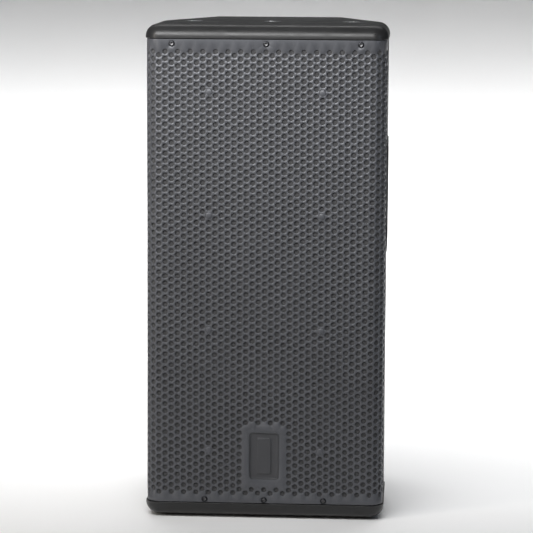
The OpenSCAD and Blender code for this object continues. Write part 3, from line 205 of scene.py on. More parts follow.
def build_materials():
    made = {
        "shell_plastic": moulded("shell_plastic", (0.022, 0.023, 0.026), 0.52, 650, 0.09 * MM),
        "cap_plastic": moulded(
            "cap_plastic", (0.020, 0.020, 0.0205), 0.36, 1200, 0.02 * MM, Specular_IOR_Level=0.35
        ),
        "grille_paint": powder_coat("grille_paint", (0.085, 0.088, 0.098), 0.42, Metallic=0.25),
        "badge_paint": powder_coat("badge_paint", (0.060, 0.061, 0.066), 0.40, Metallic=0.2),
        "black_steel": metal("black_steel", (0.035, 0.036, 0.040), 0.38),
        "worn_steel": metal("worn_steel", (0.17, 0.17, 0.175), 0.46),
        "rubber": rubber("rubber", (0.014, 0.014, 0.014)),
        "socket_plastic": moulded("socket_plastic", (0.017, 0.017, 0.018), 0.58, 500, 0.07 * MM),
        "zinc_steel": metal("zinc_steel", (0.63, 0.64, 0.66), 0.26),
        "basket_paint": powder_coat("basket_paint", (0.020, 0.020, 0.021), 0.45),
        "copper": metal("copper", (0.62, 0.29, 0.13), 0.34),
        "titanium": metal("titanium", (0.46, 0.49, 0.54), 0.24),
        "heatsink_alloy": metal("heatsink_alloy", (0.035, 0.036, 0.040), 0.40),
        "horn_plastic": moulded("horn_plastic", (0.016, 0.016, 0.017), 0.36, 1600, 0.015 * MM),
        "panel_paint": powder_coat("panel_paint", (0.020, 0.021, 0.023), 0.50),
        "connector_plastic": moulded("connector_plastic", (0.013, 0.013, 0.014), 0.30, 2200, 0.01 * MM),
        "knob_plastic": moulded("knob_plastic", (0.028, 0.028, 0.030), 0.60, 1800, 0.02 * MM),
        "button_plastic": moulded("button_plastic", (0.26, 0.26, 0.27), 0.34, 2200, 0.01 * MM),
        "surround_cloth": weave("surround_cloth", (0.022, 0.022, 0.023), 420, 0.12 * MM, 0.6),
        "spider_cloth": weave("spider_cloth", (0.36, 0.19, 0.05), 380, 0.2 * MM),
        "wire_sleeve": rubber("wire_sleeve", (0.018, 0.012, 0.012), 0.45),
        "panel_print": powder_coat("panel_print", (0.62, 0.62, 0.60), 0.55),
    }

    foam = Surface("foam", (0.034, 0.034, 0.036), 0.95, Sheen_Weight=0.3, Sheen_Roughness=0.6)
    pit_depth_and_shade = foam.cells(620, feature="SMOOTH_F1")
    # The pits are painted darker as well as sunk: this is painted shade in the foam's pores.
    foam.tint(pit_depth_and_shade, 0.05, 0.55, 0.25, 1.45)
    foam.relief(pit_depth_and_shade, 0.6 * MM)
    made["foam"] = foam.relief(foam.noise(300, 4), 0.4 * MM)

    wadding = Surface("wadding", (0.62, 0.61, 0.57), 1.0, Sheen_Weight=0.6, Sheen_Roughness=0.4)
    wadding.tint(wadding.noise(90, 6), 0.25, 0.7, 0.62, 1.15)
    wadding.relief(wadding.noise(1, 5, 0.7, wadding.stretched(260, 900, 140)), 0.9 * MM)
    made["wadding"] = wadding.relief(wadding.noise(1, 5, 0.7, wadding.stretched(900, 180, 700)), 0.6 * MM)

    board = Surface("baffle_board", (0.016, 0.016, 0.017), 0.72)
    fibres = board.noise(1, 5, 0.65, board.stretched(30, 400, 900))
    board.tint(fibres, 0.3, 0.7, 0.7, 1.5)
    made["baffle_board"] = board.relief(fibres, 0.12 * MM)

    paper = Surface("cone_paper", (0.024, 0.024, 0.026), 0.82)
    paper.tint(paper.noise(150, 6, 0.7), 0.3, 0.72, 0.6, 1.7)
    paper.relief(paper.noise(420, 5, 0.7), 0.15 * MM)
    made["cone_paper"] = paper.relief(paper.noise(1700, 3), 0.05 * MM)

    ferrite = Surface("ferrite", (0.035, 0.035, 0.038), 0.62, 0.3)
    ferrite.tint(ferrite.noise(200, 5), 0.3, 0.7, 0.7, 1.4)
    made["ferrite"] = ferrite.relief(ferrite.noise(900, 4, 0.7), 0.12 * MM)

    laminate = Surface("board_laminate", (0.012, 0.085, 0.040), 0.35, Coat_Weight=0.4, Coat_Roughness=0.2)
    tracks = laminate.node(
        "ShaderNodeTexVoronoi", {"Vector": laminate.place, "Scale": 150}, distance="MANHATTAN",
        feature="DISTANCE_TO_EDGE",
    ).outputs["Distance"]
    laminate.tint(tracks, 0.04, 0.10, 1.9, 0.9)
    made["board_laminate"] = laminate.relief(tracks, 0.05 * MM)

    sleeve = Surface("capacitor_sleeve", (0.010, 0.016, 0.055), 0.28, Coat_Weight=0.3)
    sleeve.tint(sleeve.noise(40, 3), 0.35, 0.65, 0.85, 1.2)
    made["capacitor_sleeve"] = sleeve.relief(sleeve.noise(300, 2), 0.03 * MM)

    lens = Surface("light_lens", (0.10, 0.55, 0.20), 0.16, Transmission_Weight=0.5, IOR=1.49)
    lens.tint(lens.noise(900, 2), 0.35, 0.65, 0.8, 1.2)
    made["light_lens"] = lens.relief(lens.cells(1800), 0.03 * MM)

    for slot in [m["slot"] for m in frame["record"]["materials"]]:
        if slot not in made:
            raise ValueError(f"no surface for slot {slot}")
    return {name: surface.material for name, surface in made.items()}


# ---------------------------------------------------------------- mesh tools


def add_piece(name, points, faces, materials, body, stands_for=(), smooth_angle=38):
    """Makes a piece from points and faces, in the row frame, and puts it on its CAD body."""
    mesh = bpy.data.meshes.new(name)
    mesh.from_pydata([tuple(p) for p in points], [], [tuple(f) for f in faces])
    mesh.validate()
    for material in materials:
        mesh.materials.append(material)
    piece = bpy.data.objects.new(name, mesh)
    bpy.context.scene.collection.objects.link(piece)
    mesh.shade_smooth()
    mesh.set_sharp_from_angle(angle=math.radians(smooth_angle))
    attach(piece, body)
    for node in stands_for:
        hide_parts(node)
    return piece


def cabinet_piece(name, points, faces, materials, slot, stands_for=(), smooth_angle=38):
    """A piece of one finish that rides on the cabinet."""
    return add_piece(name, points, faces, [materials[slot]], "cabinet", stands_for, smooth_angle)


def apply_modifiers(piece):
    """Keeps what the piece's modifiers make as its own mesh."""
    graph = bpy.context.evaluated_depsgraph_get()
    made = bpy.data.meshes.new_from_object(piece.evaluated_get(graph))
    piece.modifiers.clear()
    piece.data = made


def loft(rings, close_start=True, close_end=True):
    """Points and faces through rings of points that all have the same count."""
    count = len(rings[0])
    points = [p for ring in rings for p in ring]
    faces = []
    for k in range(len(rings) - 1):
        for i in range(count):
            j = (i + 1) % count
            faces.append((k * count + i, k * count + j, (k + 1) * count + j, (k + 1) * count + i))
    if close_start:
        faces.append(tuple(reversed(range(count))))
    if close_end:
        last = (len(rings) - 1) * count
        faces.append(tuple(range(last, last + count)))
    return points, faces


def merge(parts):
    points, faces = [], []
    for more_points, more_faces in parts:
        start = len(points)
        points += more_points
        faces += [tuple(i + start for i in face) for face in more_faces]
    return points, faces


def axes_for(direction):
    """Two directions across an axis, so that u, v and the axis are right-handed."""
    along = Vector(direction).normalized()
    across = Vector((1, 0, 0)) if abs(along.x) < 0.9 else Vector((0, 0, 1))
    u = (across - along * across.dot(along)).normalized()
    return u, along.cross(u), along


def turned(centre, direction, profile, count=48, close_start=True, close_end=True, pitch=0.0):
    """A turned solid: profile lists (radius, height) or (radius, height, sides) for a flat-sided ring."""
    u, v, along = axes_for(direction)
    rings = []
    for entry in profile:
        radius, height = entry[:2]
        sides = entry[2] if len(entry) > 2 else 0
        ring = []
        for i in range(count):
            a = math.tau * i / count
            r = radius
            if sides:
                step = math.tau / sides
                r = radius * math.cos(step / 2) / math.cos((a % step) - step / 2)
            ring.append(Vector(centre) + u * (r * math.cos(a)) + v * (r * math.sin(a)) + along * height)
        rings.append(ring)
    return loft(rings, close_start, close_end)


def rounded_rectangle(half_w, half_h, radius, steps=7):
    points = []
    for x, y, start in ((1, 1, 0), (-1, 1, 90), (-1, -1, 180), (1, -1, 270)):
        for i in range(steps + 1):
            a = math.radians(start + 90 * i / steps)
            points.append((
                x * (half_w - radius) + radius * math.cos(a),
                y * (half_h - radius) + radius * math.sin(a),
            ))
    return points


def heading(angle):
    return math.cos(angle), math.sin(angle)


def taper_angle():
    run = (REAR_CORNER[0] - SIDE_BEND[0], REAR_CORNER[1] - SIDE_BEND[1])
    return math.atan2(run[1], run[0]) - math.acos((BEND_R - REAR_R) / math.hypot(*run))


def plan_outline(inset, steps=14):
    """The cabinet seen from above, pulled in by an inset, anticlockwise from the front on the right."""
    turn = taper_angle()
    arcs = (
        (FRONT_CORNER, FRONT_R, -math.pi / 2, 0.0),
        (SIDE_BEND, BEND_R, 0.0, turn),
        (REAR_CORNER, REAR_R, turn, math.pi / 2),
    )
    right = []
    for centre, radius, start, end in arcs:
        for i in range(steps + 1):
            x, y = heading(start + (end - start) * i / steps)
            right.append((centre[0] + (radius - inset) * x, centre[1] + (radius - inset) * y))
    return right + [(-x, y) for x, y in reversed(right)]


# ---------------------------------------------------------------- end caps


def plan_ring(inset, z):
    return [Vector((x, y, z)) for x, y in plan_outline(inset)]


def cap_rings(seam_z, deck_z, inset, edge_r):
    """Rings up the outside of a cap, from its seam to the edge of its deck."""
    up = 1 if deck_z > seam_z else -1
    rings = [plan_ring(inset, seam_z), plan_ring(inset, seam_z + up * 0.4 * MM)]
    for i in range(13):
        x, y = heading(math.pi / 2 * i / 12)
        rings.append(plan_ring(inset + edge_r * (1 - x), deck_z - up * edge_r * (1 - y)))
    return rings


def make_cap(name, seam_z, deck_z, cuts, materials, node):
    """A hollow cap with a rounded edge and drilled, chamfered seats for its fittings."""
    up = 1 if deck_z > seam_z else -1
    outside = cap_rings(seam_z, deck_z, 0.0, CAP_EDGE_R)
    outside[0] = plan_ring(0.35 * MM, seam_z)
    inside = cap_rings(seam_z, deck_z - up * CAP_WALL, CAP_WALL, CAP_EDGE_R - CAP_WALL)
    rings = list(reversed(inside)) + outside
    points, faces = loft(rings)
    if up < 0:
        faces = [tuple(reversed(face)) for face in faces]
    cap = cabinet_piece(name, points, faces, materials, "cap_plastic", [node], 30)
    cutters = []
    for x, y, radius, depth in cuts:
        centre = Vector((x, y, deck_z + up * MM))
        body = turned(centre, (0, 0, -up), [(radius, 0), (radius, depth + MM)], 64)
        mesh = bpy.data.meshes.new("cutter")
        mesh.from_pydata([tuple(p) for p in body[0]], [], body[1])
        cutter = bpy.data.objects.new("cutter", mesh)
        bpy.context.scene.collection.objects.link(cutter)
        cutters.append(cutter)
        modifier = cap.modifiers.new("seat", "BOOLEAN")
        modifier.object, modifier.operation, modifier.solver = cutter, "DIFFERENCE", "EXACT"
    bevel = cap.modifiers.new("edge", "BEVEL")
    bevel.width, bevel.segments, bevel.limit_method = 0.45 * MM, 2, "ANGLE"
    bevel.angle_limit = math.radians(50)
    apply_modifiers(cap)
    for cutter in cutters:
        bpy.data.objects.remove(cutter)
    cap.data.shade_smooth()
    cap.data.set_sharp_from_angle(angle=math.radians(35))
    return cap


def corner_places(front, rear):
    return [(side * x, y) for side in (-1, 1) for x, y in (front, rear)]


def make_caps(materials):
    fly_low, fly_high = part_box("fly_points")
    fly_y = (fly_low.y + fly_high.y) / 2
    fly_x = fly_high.x - 13 * MM
    screws = corner_places((134 * MM, -116.5 * MM), (76 * MM, 137.5 * MM))
    cuts = [(x, fly_y, 13.3 * MM, 2.0 * MM) for x in (-fly_x, 0, fly_x)]
    cuts += [(x, fly_y, 9.3 * MM, 6.0 * MM) for x in (-fly_x, 0, fly_x)]
    cuts += [(x, y, 4.75 * MM, 3.0 * MM) for x, y in screws]
    make_cap("top_cap_shell", CAP_LOW.z, CAP_HIGH.z, cuts, materials, "top_cap")
    feet = corner_places((120 * MM, -110.5 * MM), (72 * MM, 129.5 * MM))
    socket_low, socket_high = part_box("pole_socket")
    cuts = [(x, y, 15.3 * MM, 5.0 * MM) for x, y in feet]
    cuts.append((0, (socket_low.y + socket_high.y) / 2, 33.1 * MM, 3.0 * MM))
    make_cap("bottom_cap_shell", FLOOR_HIGH.z, FLOOR_LOW.z, cuts, materials, "bottom_cap")


# ---------------------------------------------------------------- bent front sheets


class BentSheet:
    """A sheet that wraps the front: u runs along its outer face from the middle, v is the height."""

    def __init__(self, inset, back_y):
        self.flat = FRONT_CORNER[0]
        self.radius = FRONT_R - inset
        self.bend = self.radius * math.pi / 2
        self.flange = back_y - FRONT_CORNER[1]
        self.reach = self.flat + self.bend + self.flange

    def place(self, u, depth, v):
        """The point depth metres in from the outer face, and the outward direction there."""
        side, along = (1, u) if u >= 0 else (-1, -u)
        if along <= self.flat:
            x, y, out = along, FRONT_CORNER[1] - (self.radius - depth), (0.0, -1.0)
        elif along <= self.flat + self.bend:
            a = (along - self.flat) / self.radius
            out = (math.sin(a), -math.cos(a))
            x = self.flat + (self.radius - depth) * out[0]
            y = FRONT_CORNER[1] + (self.radius - depth) * out[1]
        else:
            x = self.flat + self.radius - depth
            y = FRONT_CORNER[1] + along - self.flat - self.bend
            out = (1.0, 0.0)
        return Vector((side * x, y, v)), Vector((side * out[0], out[1], 0.0))


def circle(u, v, radius, sides):
    return [(u + radius * math.cos(math.tau * i / sides), v + radius * math.sin(math.tau * i / sides))
            for i in range(sides)]


def edge_points(start, end, step):
    count = max(1, round(math.dist(start, end) / step))
    return [(start[0] + (end[0] - start[0]) * i / count, start[1] + (end[1] - start[1]) * i / count)
            for i in range(count)]


def triangulate(loops, extra=()):
    """Triangles of a flat region: loops[0] is its outline and the others are holes."""
    points = [Vector(p) for loop in loops for p in loop]
    owner = [k for k, loop in enumerate(loops) for _ in loop]
    edges, start = [], 0
    for loop in loops:
        edges += [(start + i, start + (i + 1) % len(loop)) for i in range(len(loop))]
        start += len(loop)
    points += [Vector(p) for p in extra]
    owner += [-1] * len(extra)
    _, _, triangles, sources, _, _ = delaunay_2d_cdt(points, edges, [], 0, 1e-9)
    index = [source[0] for source in sources]
    kept = []
    for face in triangles:
        corners = [index[i] for i in face]
        owners = {owner[i] for i in corners}
        if len(owners) == 1 and owners.pop() > 0:
            continue
        a, b, c = (points[i] for i in corners)
        if (b - a).cross(c - a) < 0:
            corners.reverse()
        kept.append(tuple(corners))
    return points, kept


def sheet_outline(sheet, low, high, step):
    corners = [(-sheet.reach, low), (sheet.reach, low), (sheet.reach, high), (-sheet.reach, high)]
    outline = []
    for i in range(4):
        outline += edge_points(corners[i], corners[(i + 1) % 4], step)
    return outline


def notched_outline(sheet, low, high, step, notches, radius):
    """The sheet's outline with a round notch in its lower edge over each of the notches' middles."""
    outline, here = [], (-sheet.reach, low)
    for x, z in sorted(notches):
        dip = math.asin((z - low) / radius)
        half = radius * math.cos(dip)
        outline += edge_points(here, (x - half, low), step)
        for i in range(13):
            a = math.pi + dip - (math.pi + 2 * dip) * i / 12
            outline.append((x + radius * math.cos(a), z + radius * math.sin(a)))
        here = outline.pop()
    corners = [here, (sheet.reach, low), (sheet.reach, high), (-sheet.reach, high), (-sheet.reach, low)]
    for start, end in zip(corners, corners[1:]):
        outline += edge_points(start, end, step)
    return outline


def grille_openings():
    """The openings that aren't perforation: badge, rivets and screws, as loops in the sheet."""
    badge_low, badge_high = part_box("badge_plate")
    badge_z = (badge_low.z + badge_high.z) / 2
    badge = [(u, badge_z + v) for u, v in rounded_rectangle(BADGE_HALF_W, BADGE_HALF_H, BADGE_R)]
    rivets = [circle(x, z, HOLE_R, HOLE_SIDES * 2) for x, z in rivet_places()]
    screws = [circle(x, z, SCREW_HOLE_R, 16) for x, z in grille_screw_places()]
    return badge, rivets, screws


def rivet_places():
    """Middles of the eight rivets, from the outer ends of their CAD node."""
    low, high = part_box("foam_rivets")
    bottom, top = low.z + RIVET_R, high.z - RIVET_R
    rows = (top, top - RIVET_PAIR, bottom + RIVET_PAIR, bottom)
    return [(side * (high.x - RIVET_R), z) for side in (-1, 1) for z in rows]


def grille_screw_places():
    """Middles of the grille's screws, three along the top and then three along the bottom."""
    low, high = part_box("grille_screws")
    top = [(x * (high.x - SCREW_HEAD_R), high.z - SCREW_HEAD_R) for x in (-1, 0, 1)]
    return top + [(x * LOW_SCREW_X, low.z + SCREW_HEAD_R) for x in (-1, 0, 1)]


def perforation(sheet, top_row, rows):
    """Middles of the staggered holes, clear of the badge and of the rivets."""
    column_step = PITCH * math.sqrt(3) / 2
    columns = int((sheet.reach - 1.6 * HOLE_R) / column_step)
    badge_low, badge_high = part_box("badge_plate")
    rivets = rivet_places()
    holes = []
    for i in range(-columns, columns + 1):
        u = i * column_step
        for k in range(rows):
            v = top_row - k * PITCH - (i % 2) * PITCH / 2
            over_badge = abs(i) <= 3 and badge_low.z - 8 * MM < v < badge_high.z + 6 * MM
            at_rivet = any(math.hypot(u - x, v - z) < HOLE_R for x, z in rivets)
            if not over_badge and not at_rivet:
                holes.append((u, v))
    return holes


def make_grille(materials):
    """The perforated steel front: real holes, the sheet's thickness, and softened hole edges."""
    sheet = BentSheet(CAP_LIP, GRILLE_HIGH.y)
    badge, rivets, screws = grille_openings()
    holes = perforation(sheet, TOP_HOLE_ROW, HOLE_ROWS)
    outline = sheet_outline(sheet, GRILLE_LOW.z, GRILLE_HIGH.z, 4 * MM)
    loops = [outline, badge] + rivets + screws
    loops += [circle(u, v, HOLE_R, HOLE_SIDES) for u, v in holes]
    flat, triangles = triangulate(loops)
    count = len(flat)
    points = [sheet.place(p.x, depth, p.y)[0] for depth in (0.0, SHEET_T) for p in flat]
    faces = list(triangles) + [tuple(count + i for i in reversed(face)) for face in triangles]
    rim_tilt, start = 0.42, 0
    fronts = [sheet.place(p.x, 0.0, p.y)[1] for p in flat]
    inward = [Vector((0, 0, 0))] * count
    for k, loop in enumerate(loops):
        middle = np.mean(loop, axis=0)
        for i in range(len(loop)):
            j = (i + 1) % len(loop)
            a, b = start + i, start + j
            face = (a, b, count + b, count + a)
            faces.append(tuple(reversed(face)) if k == 0 else face)
            if k > 0:
                u, v = loop[i]
                here, there = sheet.place(u, 0.0, v)[0], sheet.place(middle[0], 0.0, middle[1])[0]
                inward[a] = (there - here).normalized()
        start += len(loop)
    grille = cabinet_piece("grille_sheet", points, faces, materials, "grille_paint", ["grille"])
    mesh = grille.data
    soft = [
        (front + rim_tilt * aim).normalized() if aim.length else front for front, aim in zip(fronts, inward)
    ]
    normals = []
    for polygon in mesh.polygons:
        wall = len(polygon.vertices) == 4
        for i in polygon.vertices:
            if wall and i >= count:
                normals.append(inward[i - count] if inward[i - count].length else polygon.normal)
            elif wall:
                normals.append((soft[i] + inward[i]).normalized() if inward[i].length else polygon.normal)
            elif i < count:
                normals.append(soft[i])
            else:
                normals.append(-fronts[i - count])
    if "sharp_edge" in mesh.attributes:
        mesh.attributes.remove(mesh.attributes["sharp_edge"])
    mesh.normals_split_custom_set([tuple(n) for n in normals])
    return grille


def make_foam(materials):
    """Open-cell foam behind the grille, slightly uneven and drawn in round its rivets."""
    low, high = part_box("grille_foam")
    sheet = BentSheet(low.y + HALF_D, high.y)
    thick = 6 * MM
    badge_low, badge_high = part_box("badge_plate")
    badge_z = (badge_low.z + badge_high.z) / 2
    badge = [(u, badge_z + v) for u, v in rounded_rectangle(25.5 * MM, 38 * MM, 9 * MM)]
    rivets = rivet_places()
    bosses = grille_screw_places()
    loops = [notched_outline(sheet, low.z, high.z, 5 * MM, bosses[3:], 4.8 * MM), badge]
    loops += [circle(x, z, HOLE_R, 20) for x, z in rivets]
    loops += [circle(x, z, 4.8 * MM, 20) for x, z in bosses[:3]]
    step = 5 * MM
    inner = []
    for i in range(-int(sheet.reach / step) + 1, int(sheet.reach / step)):
        for k in range(1, int((high.z - low.z) / step)):
            u, v = i * step + (k % 2) * step / 2, low.z + k * step
            off_edge = abs(u) < sheet.reach - 3 * MM
            off_badge = abs(u) >= 28 * MM or abs(v - badge_z) >= 41 * MM
            off_holes = all(math.hypot(u - x, v - z) > 6.5 * MM for x, z in rivets + bosses)
            if off_edge and off_badge and off_holes:
                inner.append((u, v))
    flat, triangles = triangulate(loops, inner)
    count = len(flat)
    points = []
    for p in flat:
        uneven = 0.25 * MM * (1 + noise.noise(Vector((p.x, p.y, 0.3)) * 28))
        drawn = sum(
            1.3 * MM * math.exp(-((math.hypot(p.x - x, p.y - z) / (8 * MM)) ** 2)) for x, z in rivets
        )
        points.append(sheet.place(p.x, uneven + drawn, p.y)[0])
    for p in flat:
        uneven = 0.2 * MM * (1 + noise.noise(Vector((p.x, p.y, 9.1)) * 30))
        points.append(sheet.place(p.x, thick - uneven, p.y)[0])
    faces = triangles + [tuple(count + i for i in reversed(face)) for face in triangles]
    start = 0
    for k, loop in enumerate(loops):
        for i in range(len(loop)):
            a, b = start + i, start + (i + 1) % len(loop)
            face = (a, b, count + b, count + a)
            faces.append(tuple(reversed(face)) if k == 0 else face)
        start += len(loop)
    foam = cabinet_piece("foam_lining", points, faces, materials, "foam", ["grille_foam"])
    return foam


# ---------------------------------------------------------------- fasteners and badge


def front_point(x, z):
    """A point on the grille's outer face."""
    return Vector((x, GRILLE_Y, z))


def pan_screw(centre, direction, head_r, head_h, shank_r, shank_l):
    """A pan head screw with a hexagonal recess, turned from its tip to the bottom of the recess."""
    socket = 0.47 * head_r
    profile = [(0.3 * shank_r, -shank_l), (shank_r, -shank_l + shank_r), (shank_r, 0)]
    profile += [(head_r - 0.15 * MM, 0), (head_r, 0.12 * head_h), (head_r, 0.3 * head_h)]
    profile += [(0.965 * head_r, 0.58 * head_h)]
    profile += [(0.87 * head_r, 0.82 * head_h), (0.73 * head_r, 0.96 * head_h), (0.6 * head_r, head_h)]
    profile += [(1.12 * socket, head_h), (1.0 * socket, 0.93 * head_h, 6)]
    profile += [(0.96 * socket, -0.45 * head_h, 6), (0.3 * socket, -0.75 * head_h)]
    count = 36
    points, faces = turned(centre, direction, profile, count)
    recess = range(10 * count, 13 * count)
    worn = [k in recess or k == len(faces) - 1 for k in range(len(faces))]
    return points, faces, worn


def add_screws(name, screws, materials, node):
    """One piece of several screws, black with a worn recess."""
    parts, worn = [], []
    for screw in screws:
        points, faces, bright = pan_screw(*screw)
        parts.append((points, faces))
        worn += bright
    points, faces = merge(parts)
    finishes = [materials["black_steel"], materials["worn_steel"]]
    piece = add_piece(name, points, faces, finishes, "cabinet", [node], 32)
    for polygon, bright in zip(piece.data.polygons, worn):
        polygon.material_index = 1 if bright else 0
    return piece


def make_front_fasteners(materials):
    """The grille's screws and the low domed rivets that hold the foam."""
    head_h = GRILLE_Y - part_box("grille_screws")[0].y
    screws = [
        (front_point(x, z), FRONT, SCREW_HEAD_R, head_h, SCREW_SHANK_R, SCREW_LENGTH)
        for x, z in grille_screw_places()
    ]
    add_screws("grille_screw_set", screws, materials, "grille_screws")
    dome = GRILLE_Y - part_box("foam_rivets")[0].y
    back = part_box("foam_rivets")[1].y - GRILLE_Y
    head = 4.5 * MM
    profile = [(6.6 * MM, -back), (RIVET_R, -back + 0.3 * MM), (RIVET_R, -back + 1.2 * MM)]
    profile += [(6.4 * MM, -back + 1.5 * MM), (3.55 * MM, -back + 1.5 * MM), (3.55 * MM, 0.02 * MM)]
    profile += [(head - 0.15 * MM, 0.02 * MM), (head, 0.14 * MM)]
    for i in range(1, 9):
        x, y = heading(math.pi / 2 * i / 8)
        profile.append((max(head * x, 0.12 * MM), 0.22 * MM + (dome - 0.22 * MM) * y))
    parts = [turned(front_point(x, z), FRONT, profile, 36) for x, z in rivet_places()]
    points, faces = merge(parts)
    cabinet_piece("foam_rivet_set", points, faces, materials, "grille_paint", ["foam_rivets"])


def make_badge(materials):
    """A pressed plate: a lip in the grille's opening, a recessed floor, and a raised blank field."""
    low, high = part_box("badge_plate")
    centre = Vector((0, GRILLE_Y, (low.z + high.z) / 2))
    back = GRILLE_Y - high.y
    # half width, half height, corner radius and height of each ring, in mm, from the flange's back
    rings = [
        (24.6, 37.1, 8.6, back / MM), (25.0, 37.5, 9.0, back / MM + 0.4), (25.0, 37.5, 9.0, -1.9),
        (24.6, 37.1, 8.6, -1.55), (20.7, 33.2, 4.7, -1.55), (20.7, 33.2, 4.7, -0.55),
        (20.6, 33.1, 4.6, -0.32), (20.35, 32.85, 4.4, -0.2), (20.05, 32.55, 4.1, -0.22),
        (19.85, 32.35, 3.9, -0.42), (19.7, 32.2, 3.75, -0.9), (19.5, 32.0, 3.6, -1.9),
        (19.3, 31.8, 3.4, -2.25), (18.9, 31.4, 3.1, -2.4), (9.9, 25.6, 2.9, -2.4),
        (9.5, 25.2, 2.6, -2.3), (9.3, 25.0, 2.5, -2.05), (9.3, 25.0, 2.5, -0.85),
        (9.2, 24.9, 2.4, -0.58), (8.95, 24.65, 2.15, -0.42), (8.6, 24.3, 1.8, -0.4),
    ]
    u, v, along = Vector((1, 0, 0)), UP, FRONT
    made = []
    for half_w, half_h, radius, height in rings:
        outline = rounded_rectangle(half_w * MM, half_h * MM, radius * MM)
        made.append([centre + u * x + v * y + along * (height * MM) for x, y in outline])
    points, faces = loft(made)
    return cabinet_piece("badge_pressing", points, faces, materials, "badge_paint", ["badge_plate"], 50)


def make_fly_points(materials):
    """Flanged inserts with a real helical thread in each bore."""
    low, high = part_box("fly_points")
    y, length = (low.y + high.y) / 2, high.z - low.z
    pitch, turns_deep = 1.5 * MM, 18
    flange_r = 13 * MM
    outside = [(8.6 * MM, -length), (9.0 * MM, -length + 0.4 * MM), (9.0 * MM, -2.0 * MM)]
    outside += [(12.8 * MM, -2.0 * MM), (flange_r, -1.8 * MM), (flange_r, -0.5 * MM)]
    outside += [(12.85 * MM, -0.15 * MM), (12.5 * MM, 0.0), (5.6 * MM, 0.0)]
    outside += [(5.2 * MM, -0.25 * MM), (4.3 * MM, -1.1 * MM)]
    parts = []
    count = 40
    for x in (flange_r - high.x, 0, high.x - flange_r):
        centre = Vector((x, y, high.z))
        u, v, along = axes_for(UP)
        rings = [[place] * count for place in outside]
        for k in range(2 * turns_deep):
            radius = 4.3 * MM if k % 2 else 4.95 * MM
            base = -1.6 * MM - k * pitch / 2
            rings.append([(radius, base - pitch * i / count) for i in range(count)])
        rings.append([(4.2 * MM, -length + 3 * MM)] * count)
        made = []
        for ring in rings:
            turns = [math.tau * i / count for i in range(count)]
            made.append([
                centre + u * (r * math.cos(a)) + v * (r * math.sin(a)) + along * h
                for a, (r, h) in zip(turns, ring)
            ])
        parts.append(loft(made))
    points, faces = merge(parts)
    cabinet_piece("fly_point_set", points, faces, materials, "zinc_steel", ["fly_points"], 30)


# ---------------------------------------------------------------- soft pieces inside


def make_wadding(materials):
    """Two tufted pads: crowned faces, rounded corners and a quilted sag between the ties."""
    low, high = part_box("damping_pads")
    size = Vector((14 * MM, high.y - low.y, high.z - low.z))
    for side, name in ((-1, "left"), (1, "right")):
        x_out = high.x if side > 0 else low.x
        centre = Vector((x_out - side * size.x / 2, (low.y + high.y) / 2, (low.z + high.z) / 2))
        work = bmesh.new()
        bmesh.ops.create_cube(work, size=1.0)
        bmesh.ops.subdivide_edges(work, edges=work.edges[:], cuts=22, use_grid_fill=True)
        for vertex in work.verts:
            a, b, c = vertex.co * 2
            crown = (1 - abs(b) ** 4) * (1 - abs(c) ** 6)
            tie = math.exp(-((b / 0.16) ** 2) - (((abs(c) - 0.45) / 0.07) ** 2))
            thick = (0.45 + 0.55 * crown ** 0.5) * (1 - 0.55 * tie)
            lump = 0.05 * noise.noise(Vector((b * 3, c * 7, 4 + side)))
            pull = 1 - 0.05 * (1 - abs(a)) - 0.04 * abs(c) ** 3
            vertex.co = Vector(
                (a * min(1.0, thick + lump) / 2 * size.x, b * pull / 2 * size.y, c * pull / 2 * size.z)
            )
        points = [centre + v.co for v in work.verts]
        faces = [[v.index for v in f.verts] for f in work.faces]
        work.free()
        pad = cabinet_piece(f"wadding_{name}", points, faces, materials, "wadding", ["damping_pads"], 180)


def wave_line(r0, r1, z, rise, waves, steps=14):
    """Profile of a corrugated ring from radius r0 to r1, with its waves on top of height z."""
    count = steps * waves
    return [(r0 + (r1 - r0) * i / count, z + rise * (1 - math.cos(math.tau * waves * i / count)) / 2)
            for i in range(count + 1)]


def make_rolls(materials):
    """The woofer's pleated surround and its corrugated spider, as thin turned cloth."""
    low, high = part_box("woofer_surround")
    centre = Vector((0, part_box("front_baffle")[1].y - 15 * MM, (low.z + high.z) / 2))
    outer = (high.x - low.x) / 2
    line = wave_line(outer - 16 * MM, outer - 4.5 * MM, 5 * MM, 4 * MM, 2) + [(outer, 5 * MM)]
    profile = line + [(r, h + 1.0 * MM) for r, h in reversed(line)]
    points, faces = turned(centre, FRONT, profile + profile[:1], 160, False, False)
    surround = cabinet_piece(
        "surround_roll", points, faces, materials, "surround_cloth", ["woofer_surround"], 60
    )
    low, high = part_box("woofer_spider")
    outer = (high.x - low.x) / 2
    base = centre.y - high.y
    line = wave_line(26.75 * MM, 76.2 * MM, base, 3.2 * MM, 6, 10) + [(outer, base)]
    profile = line + [(r, h + 0.8 * MM) for r, h in reversed(line)]
    points, faces = turned(centre, FRONT, profile + profile[:1], 96, False, False)
    spider = cabinet_piece(
        "spider_corrugation", points, faces, materials, "spider_cloth", ["woofer_spider"], 60
    )


# ---------------------------------------------------------------- amplifier panel print


def flat_bar(start, end, width, y):
    """A thin printed line on the panel between two (x, z) places."""
    a, b = Vector((start[0], 0, start[1])), Vector((end[0], 0, end[1]))
    side = (b - a).normalized().cross(BACK) * (width / 2)
    near = [Vector((p.x, y, p.z)) for p in (a - side, a + side, b + side, b - side)]
    far = [p + BACK * 0.06 * MM for p in near]
    return loft([near, far])


